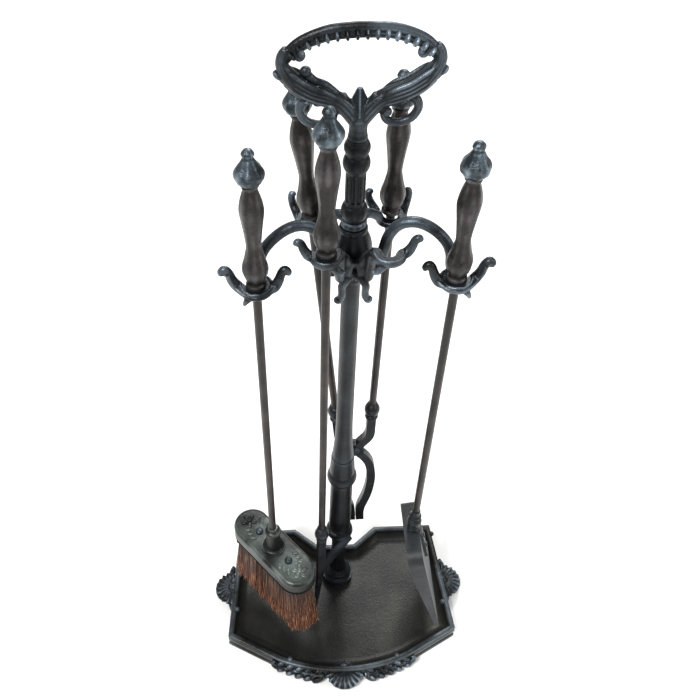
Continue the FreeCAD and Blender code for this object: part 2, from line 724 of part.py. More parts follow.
def make_handle():
    """A Y of two leaf arms, closed by an arch, with a bud between and a scroll under each arm."""
    base, top = s.fluted_column_top.number, s.total_height.number
    wide, thick = s.handle_half_width.number, s.handle_thickness.number
    arch = s.handle_arch_radius.number
    stem_profile = [(0, 0), (7, 0), (7, 5), (5.4, 8), (5.4, 13), (6.5, 20), (0, 22)]
    stem_face = Part.Face(Part.makePolygon(
        [Vector(radius, 0, base + rise) for radius, rise in stem_profile + stem_profile[:1]]))
    stem = stem_face.revolve(Vector(0, 0, 0), Vector(0, 0, 1), 360)

    leaf = [
        (-2, 12), (5, 12), (12, 24), (22, 28), (30, 29), (37, 34), (45, 42), (wide, 50),
        (wide - 1, 60), (wide - 7, 57), (wide - 11, 52), (36, 47), (26, 42), (12, 35), (4, 26), (-2, 22),
    ]
    plate = Part.Face(Part.makePolygon(
        [Vector(x, -thick / 2, base + z) for x, z in leaf + leaf[:1]])).extrude(Vector(0, thick, 0))
    shoulder_x, shoulder_z = wide - 4, base + 57
    arch_top = top - arch
    bow = [Vector(shoulder_x, 0, shoulder_z - 4), Vector(wide - 6, 0, shoulder_z + 9),
           Vector(wide * 0.7, 0, arch_top - 7.5), Vector(wide * 0.4, 0, arch_top - 1.4),
           Vector(wide * 0.12, 0, arch_top), Vector(-wide * 0.12, 0, arch_top),
           Vector(-wide * 0.4, 0, arch_top - 1.4), Vector(-wide * 0.7, 0, arch_top - 7.5),
           Vector(6 - wide, 0, shoulder_z + 9), Vector(-shoulder_x, 0, shoulder_z - 4)]
    scroll = [Vector(20, 0, base + 32), Vector(33, 0, base + 30), Vector(36, 0, base + 20),
              Vector(29, 0, base + 11), Vector(20, 0, base + 10), Vector(16, 0, base + 16)]
    curl = [Vector(wide * 0.76, 0, arch_top - 9), Vector(wide * 0.7, 0, arch_top - 16)]
    bud = Part.makeCone(5.0, 0.8, 16, Vector(0, 0, base + 23))
    bulb = Part.makeSphere(5.6, Vector(0, 0, base + 25))
    pieces = [stem, bud, bulb] + mirrored([plate]) + round_bar(bow, arch)
    pieces += mirrored(round_bar(scroll, 2.6, ball=3.6) + round_bar(curl, 2.4, ball=3.6))
    socket = post(s.tie_rod_radius.number, base - 1, s.tie_rod_end.number)
    casting("carry_handle", pieces, [socket])


# ---------------------------------------------------------------- grips, finials and rods

def grip_corners():
    """The grip's profile, from its foot up."""
    low, high = s.rod_radius, s.grip_length
    foot = s.grip_base_radius
    return [
        (low, 0), (foot, 0), (foot, 2.5, 0.6), (foot - 1, 4), (s.grip_bulge_radius, high * 0.19, 1.0),
        (foot, high * 0.31, 0.9), (s.grip_waist_radius, high * 0.41, -0.7),
        (foot - 0.3, high * 0.6, -0.8), (s.grip_upper_radius, high * 0.76, 0.6),
        (foot - 1.3, high * 0.88, 0.9), (s.grip_waist_radius - 0.6, high * 0.94, -0.4),
        (foot - 0.9, high * 0.965), (foot - 0.9, high, 0.6), (low, high),
    ]


def finial_corners():
    """The finial's profile, from the grip's top up."""
    ball, tall = s.finial_ball_radius, s.finial_height
    low = s.rod_radius
    return [
        (low, 0), (ball * 0.55, 0), (ball, tall * 0.30, 1.4), (ball * 0.62, tall * 0.58, 1.6),
        (ball * 0.40, tall * 0.63, -0.5), (ball * 0.47, tall * 0.70), (ball * 0.42, tall * 0.88, 0.5),
        (ball * 0.12, tall, 0.8), (0, tall), (0, s.rod_in_finial), (low, s.rod_in_finial),
    ]


def round_rod(label, length):
    """A plain rod that reaches length below the grip's foot, and up into the finial."""
    rod = doc.addObject("Part::Cylinder", label)
    rod.Label = label
    height = length + s.grip_length + s.rod_in_finial
    rod.Radius = number_of(s.rod_radius)
    rod.Height = number_of(height)
    bind(rod, "Radius", s.rod_radius)
    bind(rod, "Height", height)
    return rod


def make_hanging_handle(tool, x, y, seat, drop):
    """Grip, finial and rod of a tool that hangs plumb from its seat."""
    foot = seat + s.seat_gap
    place(turned("%s_grip" % tool, grip_corners()), x, y, foot)
    place(turned("%s_finial" % tool, finial_corners()), x, y, foot + s.grip_length)
    place(round_rod("%s_rod" % tool, foot - drop), x, y, drop)


# ---------------------------------------------------------------- brush

def oval(half_length, half_width):
    """A long oval with round ends and slightly bowed sides."""
    straight = half_length - half_width
    return [(straight, -half_width, half_width * 0.08), (straight, half_width, half_width * 0.98),
            (-straight, half_width, half_width * 0.08), (-straight, -half_width, half_width * 0.98)]


def make_brush():
    """The brush: a ferrule on an oval metal cap, a wooden block in it, and its bristles."""
    x, y = -s.outer_reach, -s.front_depth
    top, height = s.brush_cap_top, s.brush_cap_height
    ferrule_seat = s.brush_ferrule_height * 0.45
    make_hanging_handle("brush", x, y, s.outer_seat, top + ferrule_seat)

    rod = s.rod_radius
    tall = s.brush_ferrule_height
    ferrule = turned("brush_ferrule", [
        (0, 0), (rod + 9, 0), (rod + 9, 2.5), (rod + 5.5, 5, -0.8), (rod + 3.5, tall * 0.7),
        (rod + 4.2, tall * 0.72), (rod + 4.2, tall * 0.86, 0.8), (rod + 1.8, tall * 0.9), (rod + 1.4, tall),
        (rod, tall), (rod, ferrule_seat), (0, ferrule_seat),
    ])
    place(ferrule, x, y, top)

    z_axis = Vector(0, 0, 1)
    cap = new_body("brush_cap")
    shell = sketch_on(cap, "XY_Plane", "outside")
    draw_outline(shell, oval(s.brush_half_length, s.brush_half_width))
    pad(cap, shell, height)
    inside = sketch_on(cap, "XY_Plane", "inside")
    inner_length, inner_width = s.brush_half_length - s.brush_cap_wall, s.brush_half_width - s.brush_cap_wall
    draw_outline(inside, oval(inner_length, inner_width))
    pocket(cap, inside, height - s.brush_cap_wall, backwards=True)
    screw_side = s.brush_half_length * 0.42
    holes = sketch_on(cap, "XY_Plane", "screw_holes", height)
    draw_circle(holes, screw_side, 0, 1.8)
    draw_circle(holes, -screw_side, 0, 1.8)
    pocket(cap, holes, s.brush_cap_wall + 1)
    place(cap, x, y, top - height, z_axis, -s.brush_turn)

    block = new_body("brush_block")
    wood = sketch_on(block, "XY_Plane", "outside")
    draw_outline(wood, oval(inner_length - 0.2, inner_width - 0.2))
    thick = height - s.brush_cap_wall
    pad(block, wood, thick)
    pilot = sketch_on(block, "XY_Plane", "pilot_holes", thick)
    draw_circle(pilot, screw_side, 0, 1.6)
    draw_circle(pilot, -screw_side, 0, 1.6)
    pocket(block, pilot, 11)
    place(block, x, y, top - height, z_axis, -s.brush_turn)

    screw_corners = [(0, -12), (1.6, -12), (1.6, 0), (4.2, 0), (2.6, 2.4, 0.5), (0.8, 2.8, 0.1), (0, 2.8)]
    for side, name in ((1, "front"), (-1, "rear")):
        screw = turned("brush_screw_%s" % name, screw_corners)
        place(screw, x + side * screw_side * cosine(s.brush_turn),
              y - side * screw_side * sine(s.brush_turn), top)

    tuft = new_body("bristles")
    root = sketch_on(tuft, "XY_Plane", "root")
    draw_outline(root, oval(inner_length - 2, inner_width - 2))
    long = top - height - s.bristle_bottom
    tips = sketch_on(tuft, "XY_Plane", "tips", -long)
    spread = s.bristle_spread
    draw_outline(tips, oval(inner_length + spread, inner_width + spread))
    hair = tuft.newObject("PartDesign::AdditiveLoft", "hair")
    hair.Profile = root
    hair.Sections = [tips]
    hair.Ruled = True
    tuft.Tip = hair
    place(tuft, x, y, top - height, z_axis, -s.brush_turn)


# ---------------------------------------------------------------- poker

def make_poker():
    """The poker: a knob, a flat blade drawn to a point, and a spur."""
    x, y = -s.inner_reach, -s.front_depth
    knob, ball = s.poker_knob_height, s.poker_knob_radius
    make_hanging_handle("poker", x, y, s.inner_seat, knob)

    rod = s.rod_radius
    below = knob - s.poker_blade_top
    place(turned("poker_knob", [
        (0, 0), (rod + 1.5, 0), (rod + 1.5, 4, 0.8), (rod + 0.3, 5.2), (ball, below, 1.0),
        (rod + 0.3, below + 7.4, 1.0), (rod + 1.2, below + 9), (rod + 1.2, below + 11, 0.5),
        (rod, below + 11.5), (rod, below), (0, below),
    ]), x, y, s.poker_blade_top)

    blade = new_body("poker_blade")
    side = sketch_on(blade, "XZ_Plane", "side")
    long = s.poker_blade_top - s.poker_tip_height
    spur_rise = s.poker_blade_top - s.poker_spur_height
    tip = -s.poker_tip_offset
    draw_outline(side, [
        (4.5, 0), (-4.5, 0), (-5.0, -long * 0.45, 0.5), (tip - 0.6, -long), (tip + 0.6, -long),
        (3.4, -long * 0.45), (s.poker_spur_reach, -spur_rise - 3), (s.poker_spur_reach - 0.5, -spur_rise),
        (4.0, -long * 0.30),
    ])
    pad(blade, side, s.poker_blade_thickness, both_ways=True)
    place(blade, x, y, s.poker_blade_top, Vector(0, 0, 1), s.poker_turn)


# ---------------------------------------------------------------- shovel

def make_shovel():
    """The shovel: a knobbed socket, a riveted strap and a thin pan with raised sides."""
    x, y = s.outer_reach, -s.front_depth
    heel = s.pan_heel_height
    foot = 2.0
    make_hanging_handle("shovel", x, y, s.outer_seat, heel + foot + 12)

    rod = s.rod_radius
    place(turned("shovel_socket", [
        (0, 0), (rod + 3, 0), (rod + 3, 5, 0.6), (rod + 1.4, 8), (rod + 3.8, 15, 0.9), (rod + 1.4, 21, 0.9),
        (rod + 2.4, 24), (rod + 2.4, 27, 0.5), (rod + 1.2, 29), (rod + 0.9, 36), (rod, 36),
        (rod, 12), (0, 12),
    ]), x, y, heel + foot)

    y_axis = Vector(0, 1, 0)
    tilt, back = s.pan_tilt, s.pan_back_offset
    pan = new_body("shovel_pan")
    wall, depth, long = s.pan_wall, s.pan_depth, s.pan_length
    lip, rear = s.pan_lip_half_width, s.pan_heel_half_width
    outline = sketch_on(pan, "YZ_Plane", "outline", back)
    draw_outline(outline, [(lip, -long), (rear, -14), (rear - 14, 0, 4), (14 - rear, 0),
                           (-rear, -14, 4), (-lip, -long)])
    pad(pan, outline, depth, backwards=True)
    hollow = sketch_on(pan, "YZ_Plane", "hollow", back - wall)
    draw_outline(hollow, [(lip - wall + 0.4, -long - 5), (rear - wall, -14 - wall * 0.3),
                          (rear - 14 - wall * 0.3, -wall, 3.4), (14 - rear + wall * 0.3, -wall),
                          (wall - rear, -14 - wall * 0.3, 3.4), (wall - lip - 0.4, -long - 5)])
    pocket(pan, hollow, depth)
    slope = sketch_on(pan, "XZ_Plane", "side_slope")
    draw_outline(slope, [(back - depth - 1, -22), (back - depth - 1, -long - 1),
                         (back - wall - 2.5, -long - 1)])
    pocket(pan, slope, lip * 2 + 10, both_ways=True)
    rivet_at = (-16.0, -38.0)
    holes = sketch_on(pan, "YZ_Plane", "rivet_holes", back)
    for height in rivet_at:
        draw_circle(holes, 0, height, s.shovel_rivet_radius)
    pocket(pan, holes, wall + 1)
    place(pan, x, y, heel, y_axis, -tilt)

    strap = new_body("shovel_strap")
    side = sketch_on(strap, "XZ_Plane", "side")
    outer = back + s.strap_thickness

    def under_socket(across):
        return (foot - across * sine(tilt)) / cosine(tilt)

    draw_outline(side, [
        (outer, under_socket(outer)), (-4.0, under_socket(Size(-4.0, "-4"))), (-4.0, 0.0),
        (back, 0), (back, -s.strap_length), (outer, -s.strap_length),
    ])
    pad(strap, side, s.strap_width, both_ways=True)
    holes = sketch_on(strap, "YZ_Plane", "rivet_holes", outer)
    for height in rivet_at:
        draw_circle(holes, 0, height, s.shovel_rivet_radius)
    pocket(strap, holes, s.strap_thickness + 0.5)
    place(strap, x, y, heel, y_axis, -tilt)

    head = s.shovel_rivet_radius * 1.9
    inner = back - wall
    for label, height in zip(("shovel_rivet_upper", "shovel_rivet_lower"), rivet_at):
        rivet = new_body(label)
        for name, start, length, radius in (
                ("shank", inner, wall + s.strap_thickness, s.shovel_rivet_radius),
                ("inner_head", inner - 1.4, 1.4, head),
                ("outer_head", outer, 1.4, head)):
            disc = sketch_on(rivet, "YZ_Plane", name, start)
            draw_circle(disc, 0, height, radius)
            pad(rivet, disc, length)
        place(rivet, x, y, heel, y_axis, -tilt)


# ---------------------------------------------------------------- tongs

# The tongs lean so that the left grip's foot just clears its seat and both grips
# stand evenly beside the column: that puts the pivot to one side, at this height.
tongs_pivot_side = s.tongs_grip_rise * sine(s.tongs_lean)
tongs_pivot_height = (
    s.rear_seat + s.seat_gap + s.grip_base_radius * sine(s.tongs_lean + s.tongs_rod_splay)
    + s.rear_reach * sine(s.tongs_lean) - s.tongs_grip_rise * cosine(s.tongs_lean))


def tongs_point(across, up):
    """Where a point of the leaning tongs' own plane lies on the stand: across and height."""
    lean = s.tongs_lean
    x = tongs_pivot_side + across * cosine(lean) - up * sine(lean)
    z = tongs_pivot_height + across * sine(lean) + up * cosine(lean)
    return x, z


def flat_bar(points, width, thickness):
    """A flat bar along points in the XZ plane."""
    run = (points[1] - points[0]).normalize()
    across = Vector(run.z, 0, -run.x) * (width / 2)
    deep = Vector(0, thickness / 2, 0)
    corners = [points[0] + across + deep, points[0] - across + deep,
               points[0] - across - deep, points[0] + across - deep]
    section = Part.makePolygon(corners + corners[:1])
    return swept(rounded_path(points), section, width * thickness)


def make_leg(label, side):
    """One leg of the tongs: from its knob, through the half-lapped pivot, to its claw."""
    width, thick = s.leg_width.number, s.leg_thickness.number
    boss = s.boss_radius.number
    splay = math.radians(s.tongs_rod_splay.number)
    knob_x = s.rear_reach.number - s.tongs_rod_drop.number * math.sin(splay)
    knob_z = s.tongs_grip_rise.number - s.tongs_rod_drop.number * math.cos(splay)
    claw, bow = s.claw_length.number, s.claw_bow.number
    tip = width / 2 + 0.3
    downward = Vector(-math.sin(splay), 0, -math.cos(splay))
    top = Vector(knob_x, 0, knob_z) + downward * s.tongs_knob_drop.number
    upper = [top, top + downward * 12, Vector(boss * 1.6, 0, boss * 2.2), Vector(0, 0, 0)]
    lower = [Vector(0, 0, 0), Vector(-boss * 1.5, 0, -boss * 2.2), Vector(-bow, 0, -claw * 0.36),
             Vector(-bow * 0.8, 0, -claw * 0.6), Vector(-tip, 0, -claw * 0.84), Vector(-tip, 0, -claw)]
    arms = [flat_bar(upper, width, thick), flat_bar(lower, width, thick)]
    y_axis = Vector(0, 1, 0)
    arms.append(Part.makeCylinder(boss, thick, Vector(0, -thick / 2, 0), y_axis))
    lap_start = -0.15 if side > 0 else -thick
    lap = Part.makeCylinder(boss + 0.4, thick + 0.15, Vector(0, lap_start, 0), y_axis)
    clearance = s.pivot_pin_clearance.number if side > 0 else 0
    hole = Part.makeCylinder(s.pivot_pin_radius.number + clearance, thick * 2, Vector(0, -thick, 0), y_axis)
    if side < 0:
        arms = [arm.mirror(Vector(0, 0, 0), Vector(1, 0, 0)) for arm in arms]
    leg = casting(label, arms, [lap, hole])
    place(leg, tongs_pivot_side, s.rear_depth, tongs_pivot_height, y_axis, -s.tongs_lean)




def make_tongs():
    """Scissor tongs with two grips, whose legs cross on one pivot pin behind the column."""
    y_axis = Vector(0, 1, 0)
    rod = s.rod_radius
    ball = s.poker_knob_radius
    for side, hand in ((1, "right"), (-1, "left")):
        splay = side * s.tongs_rod_splay
        turn = splay - s.tongs_lean
        seat_x, seat_z = tongs_point(side * s.rear_reach, s.tongs_grip_rise)

        def along(distance):
            return seat_x + distance * sine(turn), seat_z + distance * cosine(turn)

        tool = "tongs_%s" % hand
        grip_top, rod_end = along(s.grip_length), along(-s.tongs_rod_drop)
        knob_end = along(-s.tongs_rod_drop - s.tongs_knob_drop)
        place(turned("%s_grip" % tool, grip_corners()), seat_x, s.rear_depth, seat_z, y_axis, turn)
        place(turned("%s_finial" % tool, finial_corners()),
              grip_top[0], s.rear_depth, grip_top[1], y_axis, turn)
        place(round_rod("%s_rod" % tool, s.tongs_rod_drop),
              rod_end[0], s.rear_depth, rod_end[1], y_axis, turn)
        place(turned("%s_knob" % tool, [
            (0, 0), (rod + 2.2, 0), (rod + 2.2, 4, 0.8), (rod + 0.6, 5.5), (ball, s.tongs_knob_drop - 1, 1.0),
            (rod + 0.6, s.tongs_knob_drop + 6.5, 1.0), (rod + 1.4, s.tongs_knob_drop + 8),
            (rod, s.tongs_knob_drop + 9.5), (rod, s.tongs_knob_drop), (0, s.tongs_knob_drop),
        ]), knob_end[0], s.rear_depth, knob_end[1], y_axis, turn)
    make_leg("tongs_right_leg", 1)
    make_leg("tongs_left_leg", -1)

    half = s.leg_thickness / 2
    pin = new_body("tongs_pivot_pin")
    revolve(pin, [
        (0, -half - 2.0), (3.6, -half - 2.0), (5.2, -half - 0.1, 0.4), (s.pivot_pin_radius, -half - 0.1),
        (s.pivot_pin_radius, half), (5.2, half), (3.6, half + 1.9, 0.4), (0, half + 1.9),
    ])
    place(pin, tongs_pivot_side, s.rear_depth, tongs_pivot_height, Vector(1, 0, 0), -90)


# ---------------------------------------------------------------- build, check and write



def sub_parts():
    """The objects that are pieces of the tool set."""
    kinds = ("PartDesign::Body", "Part::Cylinder", "Part::Feature")
    return [thing for thing in doc.Objects if thing.TypeId in kinds]


def check_document():
    """Stop if any object failed, or if a piece's solid is missing or broken."""
    for thing in doc.Objects:
        if "Invalid" in thing.State or "Error" in thing.State:
            raise ValueError("%s failed: %s" % (thing.Name, thing.State))
    for thing in sub_parts():
        if thing.Shape.isNull() or not thing.Shape.isValid() or not thing.Shape.Solids:
            raise ValueError("%s has no valid solid" % thing.Label)


def write_parts():
    """Write each piece as its own STEP file."""
    os.makedirs("parts", exist_ok=True)
    for thing in sub_parts():
        thing.Shape.exportStep(os.path.join("parts", "%s.step" % thing.Label))
        box = thing.Shape.BoundBox
        print("%-20s %8.1f mm3  x %7.1f %7.1f  y %7.1f %7.1f  z %7.1f %7.1f  solids %d" % (
            thing.Label, thing.Shape.Volume, box.XMin, box.XMax, box.YMin, box.YMax,
            box.ZMin, box.ZMax, len(thing.Shape.Solids)))


make_tray()
make_column()
make_front_bracket()
make_rear_bracket()
make_tendrils()
make_handle()
make_brush()
make_poker()
make_shovel()
make_tongs()
doc.recompute()
check_document()
write_parts()
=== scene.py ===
import bmesh
import bpy
import json
import math
from mathutils import Matrix, Quaternion, Vector


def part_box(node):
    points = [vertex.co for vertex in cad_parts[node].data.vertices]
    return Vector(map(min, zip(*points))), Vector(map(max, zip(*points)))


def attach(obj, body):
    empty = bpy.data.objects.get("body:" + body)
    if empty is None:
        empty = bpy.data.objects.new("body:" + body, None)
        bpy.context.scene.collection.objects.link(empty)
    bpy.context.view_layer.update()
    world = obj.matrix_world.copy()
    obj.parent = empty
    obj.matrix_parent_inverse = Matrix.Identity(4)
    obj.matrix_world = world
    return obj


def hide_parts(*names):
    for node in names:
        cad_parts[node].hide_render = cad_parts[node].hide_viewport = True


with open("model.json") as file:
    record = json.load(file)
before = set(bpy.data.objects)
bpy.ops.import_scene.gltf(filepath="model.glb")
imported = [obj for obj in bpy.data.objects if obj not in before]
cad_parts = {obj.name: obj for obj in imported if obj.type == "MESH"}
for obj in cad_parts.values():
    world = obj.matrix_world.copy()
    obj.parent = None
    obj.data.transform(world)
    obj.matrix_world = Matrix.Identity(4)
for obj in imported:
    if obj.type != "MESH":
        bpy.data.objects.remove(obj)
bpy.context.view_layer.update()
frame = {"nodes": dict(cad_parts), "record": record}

# Fireplace tool set: cast stand with tray, column, hooks and handle; brush, poker, shovel, tongs.
# Lengths in the dictionaries are millimetres; everything made is in metres.
print("stage: frame loaded,", len(frame["nodes"]), "nodes")

mm = 0.001
columnLow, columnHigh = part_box("main_column")
columnY = (columnLow.y + columnHigh.y) / 2  # the column's axis, behind the origin
yAxis, zAxis = Vector((0, 1, 0)), Vector((0, 0, 1))


def fromColumn(x, y, z):  # a point given in mm from the column's axis, in metres in the frame
    return Vector((x * mm, y * mm + columnY, z * mm))


def centreOf(node):
    low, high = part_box(node)
    return (low + high) / 2


# Materials.

def linearColour(code):  # sRGB hex to linear RGBA
    values = [int(code[i:i + 2], 16) / 255 for i in (1, 3, 5)]
    return [v / 12.92 if v <= 0.04045 else ((v + 0.055) / 1.055) ** 2.4 for v in values] + [1.0]


def addNode(tree, kind, settings=None, links=None):  # settings: property or socket value; links: socket to output
    node = tree.nodes.new(kind)
    for key, value in (settings or {}).items():
        if isinstance(key, int) or key in node.inputs.keys():
            node.inputs[key].default_value = value
        else:
            setattr(node, key, value)
    for socket, source in (links or {}).items():
        tree.links.new(source, node.inputs[socket])
    return node


def newMaterial(name):
    material = bpy.data.materials.new(name)
    material.use_nodes = True
    tree = material.node_tree
    tree.nodes.clear()
    return material, tree


def colourSteps(tree, factor, steps):  # steps: (position, hex) pairs
    ramp = addNode(tree, "ShaderNodeValToRGB", {}, {"Fac": factor})
    elements = ramp.color_ramp.elements
    while len(elements) < len(steps):
        elements.new(0.5)
    for element, (position, code) in zip(elements, steps):
        element.position = position
        element.color = linearColour(code)
    return ramp.outputs["Color"]


def castMetal(name, finish):
    # Sand-cast iron, blacked: fine sand grain, broad unevenness, and lighter blue-grey on sharp edges in patches,
    # partly metal showing where hands and ash rub and partly painted highlight.
    material, tree = newMaterial(name)
    place = addNode(tree, "ShaderNodeTexCoord").outputs["Object"]
    broad = addNode(tree, "ShaderNodeTexNoise", {"Scale": 1 / (finish["patch"] * mm), "Detail": 5.0},
                    {"Vector": place}).outputs["Fac"]
    grain = addNode(tree, "ShaderNodeTexNoise", {"Scale": 1 / (finish["grain"] * mm), "Detail": 4.0},
                    {"Vector": place}).outputs["Fac"]
    pits = addNode(tree, "ShaderNodeTexVoronoi", {"Scale": 1 / (finish["pit"] * mm)},
                   {"Vector": place}).outputs["Distance"]
    base = colourSteps(tree, broad, finish["colours"])
    # Painted highlight, partly wear: sharp edges (Pointiness) are mixed towards the lighter edge colour, in broad
    # patches.
    edge = addNode(tree, "ShaderNodeNewGeometry").outputs["Pointiness"]
    rubbedEdgeAndHighlight = addNode(tree, "ShaderNodeMapRange", {"From Min": 0.502, "From Max": 0.545}, {"Value": edge})
    patchy = addNode(tree, "ShaderNodeMapRange", {"From Min": 0.40, "From Max": 0.62}, {"Value": broad})
    wearAndHighlight = addNode(tree, "ShaderNodeMath", {"operation": "MULTIPLY"},
                   {0: rubbedEdgeAndHighlight.outputs["Result"], 1: patchy.outputs["Result"]}).outputs["Value"]
    amount = addNode(tree, "ShaderNodeMath", {"operation": "MULTIPLY", 1: finish["wearAndHighlight"]}, {0: wearAndHighlight})
    colour = addNode(tree, "ShaderNodeMix", {"data_type": "RGBA"},
                     {"Factor": amount.outputs["Value"]})
    tree.links.new(base, colour.inputs[6])
    colour.inputs[7].default_value = linearColour(finish["wornAndHighlightColour"])
    rough = addNode(tree, "ShaderNodeMapRange", {"To Min": finish["rough"][0], "To Max": finish["rough"][1]},
                    {"Value": grain})
    height = addNode(tree, "ShaderNodeMath", {"operation": "MULTIPLY_ADD", 1: finish["pitDepth"]},
                     {0: pits, 2: grain})
    bump = addNode(tree, "ShaderNodeBump", {"Strength": finish["bump"], "Distance": 0.6 * mm},
                   {"Height": height.outputs["Value"]})
    shader = addNode(tree, "ShaderNodeBsdfPrincipled", {"Metallic": finish["metallic"]},
                     {"Base Color": colour.outputs[2], "Roughness": rough.outputs["Result"],
                      "Normal": bump.outputs["Normal"]})
    addNode(tree, "ShaderNodeOutputMaterial", {}, {"Surface": shader.outputs["BSDF"]})
    return material


finishes = {
    # Blacked casting: near black, with blue-grey edges that are partly rubbed metal and partly painted highlight.
    "sandCastIron": {"colours": [(0.3, "#101315"), (0.52, "#191d20"), (0.72, "#252c30")], "wornAndHighlightColour": "#8795a2",
                     "patch": 24, "grain": 0.9, "pit": 2.2, "pitDepth": 0.5, "bump": 0.4,
                     "rough": (0.27, 0.46), "metallic": 0.6, "wearAndHighlight": 0.75},
    # Handled casting: the blacking is worn to soft blue-grey metal, with lighter edges that are partly rubbing and
    # partly painted highlight.
    "rubbedCastIron": {"colours": [(0.3, "#1b2023"), (0.55, "#323c42"), (0.75, "#54616b")], "wornAndHighlightColour": "#9aa9b4",
                       "patch": 9, "grain": 0.8, "pit": 2.0, "pitDepth": 0.4, "bump": 0.4,
                       "rough": (0.26, 0.44), "metallic": 0.65, "wearAndHighlight": 0.9},
    # Old blacking gone brown: dark, with a warm sheen and a blue-grey painted highlight along the edges.
    "brownedIron": {"colours": [(0.3, "#0f0c0b"), (0.5, "#1d1716"), (0.7, "#332a28")], "wornAndHighlightColour": "#6f7276",
                    "patch": 15, "grain": 0.9, "pit": 1.8, "pitDepth": 0.5, "bump": 0.45,
                    "rough": (0.27, 0.44), "metallic": 0.5, "wearAndHighlight": 0.7},
    # Drawn rod under brown-black enamel: smoother and duller than the castings.
    "drawnSteelRod": {"colours": [(0.3, "#120e0d"), (0.5, "#201a18"), (0.7, "#342b28")], "wornAndHighlightColour": "#5f5a57",
                      "patch": 30, "grain": 0.7, "pit": 1.5, "pitDepth": 0.3, "bump": 0.3,
                      "rough": (0.3, 0.46), "metallic": 0.5, "wearAndHighlight": 0.4},
    # Pressed sheet, blacked: even, faintly green.
    "blackedSheet": {"colours": [(0.3, "#0f1110"), (0.5, "#1a1d1b"), (0.7, "#2b2e2b")], "wornAndHighlightColour": "#79847f",
                     "patch": 30, "grain": 1.1, "pit": 3.0, "pitDepth": 0.3, "bump": 0.3,
                     "rough": (0.3, 0.46), "metallic": 0.5, "wearAndHighlight": 0.7},
    # Pan sheet with soot burnt on: flat and dry.
    "sootedSheet": {"colours": [(0.3, "#0b0d0e"), (0.5, "#15181a"), (0.7, "#23282b")], "wornAndHighlightColour": "#6f7c86",
                    "patch": 26, "grain": 1.2, "pit": 3.4, "pitDepth": 0.4, "bump": 0.3,
                    "rough": (0.42, 0.62), "metallic": 0.25, "wearAndHighlight": 0.8},
    # Casting that ash has scoured: a broad, soft shine.
    "trayFloorIron": {"colours": [(0.3, "#0e0f0f"), (0.5, "#1a1b19"), (0.7, "#2a2a26")], "wornAndHighlightColour": "#76838e",
                      "patch": 40, "grain": 1.2, "pit": 3.0, "pitDepth": 0.5, "bump": 0.35,
                      "rough": (0.3, 0.5), "metallic": 0.5, "wearAndHighlight": 0.4},
}
plainFinishes = {key: dict(value, wearAndHighlight=0.06) for key, value in finishes.items()}  # for coarse meshes
castIron = castMetal("sandCastIron", finishes["sandCastIron"])
columnIron = castMetal("columnCastIron", plainFinishes["sandCastIron"])
boltIron = castMetal("boltIron", plainFinishes["rubbedCastIron"])
rubbedIron = castMetal("rubbedCastIron", finishes["rubbedCastIron"])
brownIron = castMetal("brownedIron", finishes["brownedIron"])
rodSteel = castMetal("drawnSteelRod", plainFinishes["drawnSteelRod"])
sheetIron = castMetal("blackedSheet", finishes["blackedSheet"])
sootedSheet = castMetal("sootedSheet", plainFinishes["sootedSheet"])
trayIron = castMetal("trayFloorIron", finishes["trayFloorIron"])


def stainedBeech():
    # Beech, stained dark and oiled: grain lines along the block.
    material, tree = newMaterial("stainedBeech")
    place = addNode(tree, "ShaderNodeTexCoord").outputs["Object"]
    turned = addNode(tree, "ShaderNodeMapping", {"Rotation": (0, 0, math.radians(50)), "Scale": (40, 600, 600)},
                     {"Vector": place}).outputs["Vector"]
    lines = addNode(tree, "ShaderNodeTexNoise", {"Scale": 1.0, "Detail": 6.0}, {"Vector": turned}).outputs["Fac"]
    colour = colourSteps(tree, lines, [(0.3, "#20130c"), (0.6, "#3a2416"), (0.8, "#4d3220")])
    bump = addNode(tree, "ShaderNodeBump", {"Strength": 0.3, "Distance": 0.3 * mm}, {"Height": lines})
    shader = addNode(tree, "ShaderNodeBsdfPrincipled", {"Roughness": 0.5},
                     {"Base Color": colour, "Normal": bump.outputs["Normal"]})
    addNode(tree, "ShaderNodeOutputMaterial", {}, {"Surface": shader.outputs["BSDF"]})
    return material


def coirFibre():
    # Coir, the coconut fibre of hearth brushes: each fibre keeps its own shade, from red-brown to straw, and
    # painted shade darkens all of them towards the cap.
    material, tree = newMaterial("coirFibre")
    place = addNode(tree, "ShaderNodeTexCoord").outputs["Object"]
    stretched = addNode(tree, "ShaderNodeMapping", {"Scale": (700, 700, 30)}, {"Vector": place}).outputs["Vector"]
    shade = addNode(tree, "ShaderNodeTexNoise", {"Scale": 1.0, "Detail": 2.0}, {"Vector": stretched}).outputs["Fac"]
    light = colourSteps(tree, shade, [(0.28, "#2b170d"), (0.45, "#5a331e"), (0.6, "#85502f"), (0.76, "#c79a6e")])
    shadedFibre = colourSteps(tree, shade, [(0.28, "#120a06"), (0.5, "#2a170d"), (0.74, "#4f2e1b")])
    # Painted shade: the fibres blend into a darker copy of their colour towards the top, where they meet the cap.
    rise = addNode(tree, "ShaderNodeSeparateXYZ", {}, {0: place}).outputs["Z"]
    towardsCapShade = addNode(tree, "ShaderNodeMapRange", {"From Min": 0.07, "From Max": 0.135}, {"Value": rise})
    colour = addNode(tree, "ShaderNodeMix", {"data_type": "RGBA"}, {"Factor": towardsCapShade.outputs["Result"]})
    tree.links.new(light, colour.inputs[6])
    tree.links.new(shadedFibre, colour.inputs[7])
    shader = addNode(tree, "ShaderNodeBsdfPrincipled", {"Roughness": 0.6}, {"Base Color": colour.outputs[2]})
    addNode(tree, "ShaderNodeOutputMaterial", {}, {"Surface": shader.outputs["BSDF"]})
    return material


beech = stainedBeech()
coir = coirFibre()

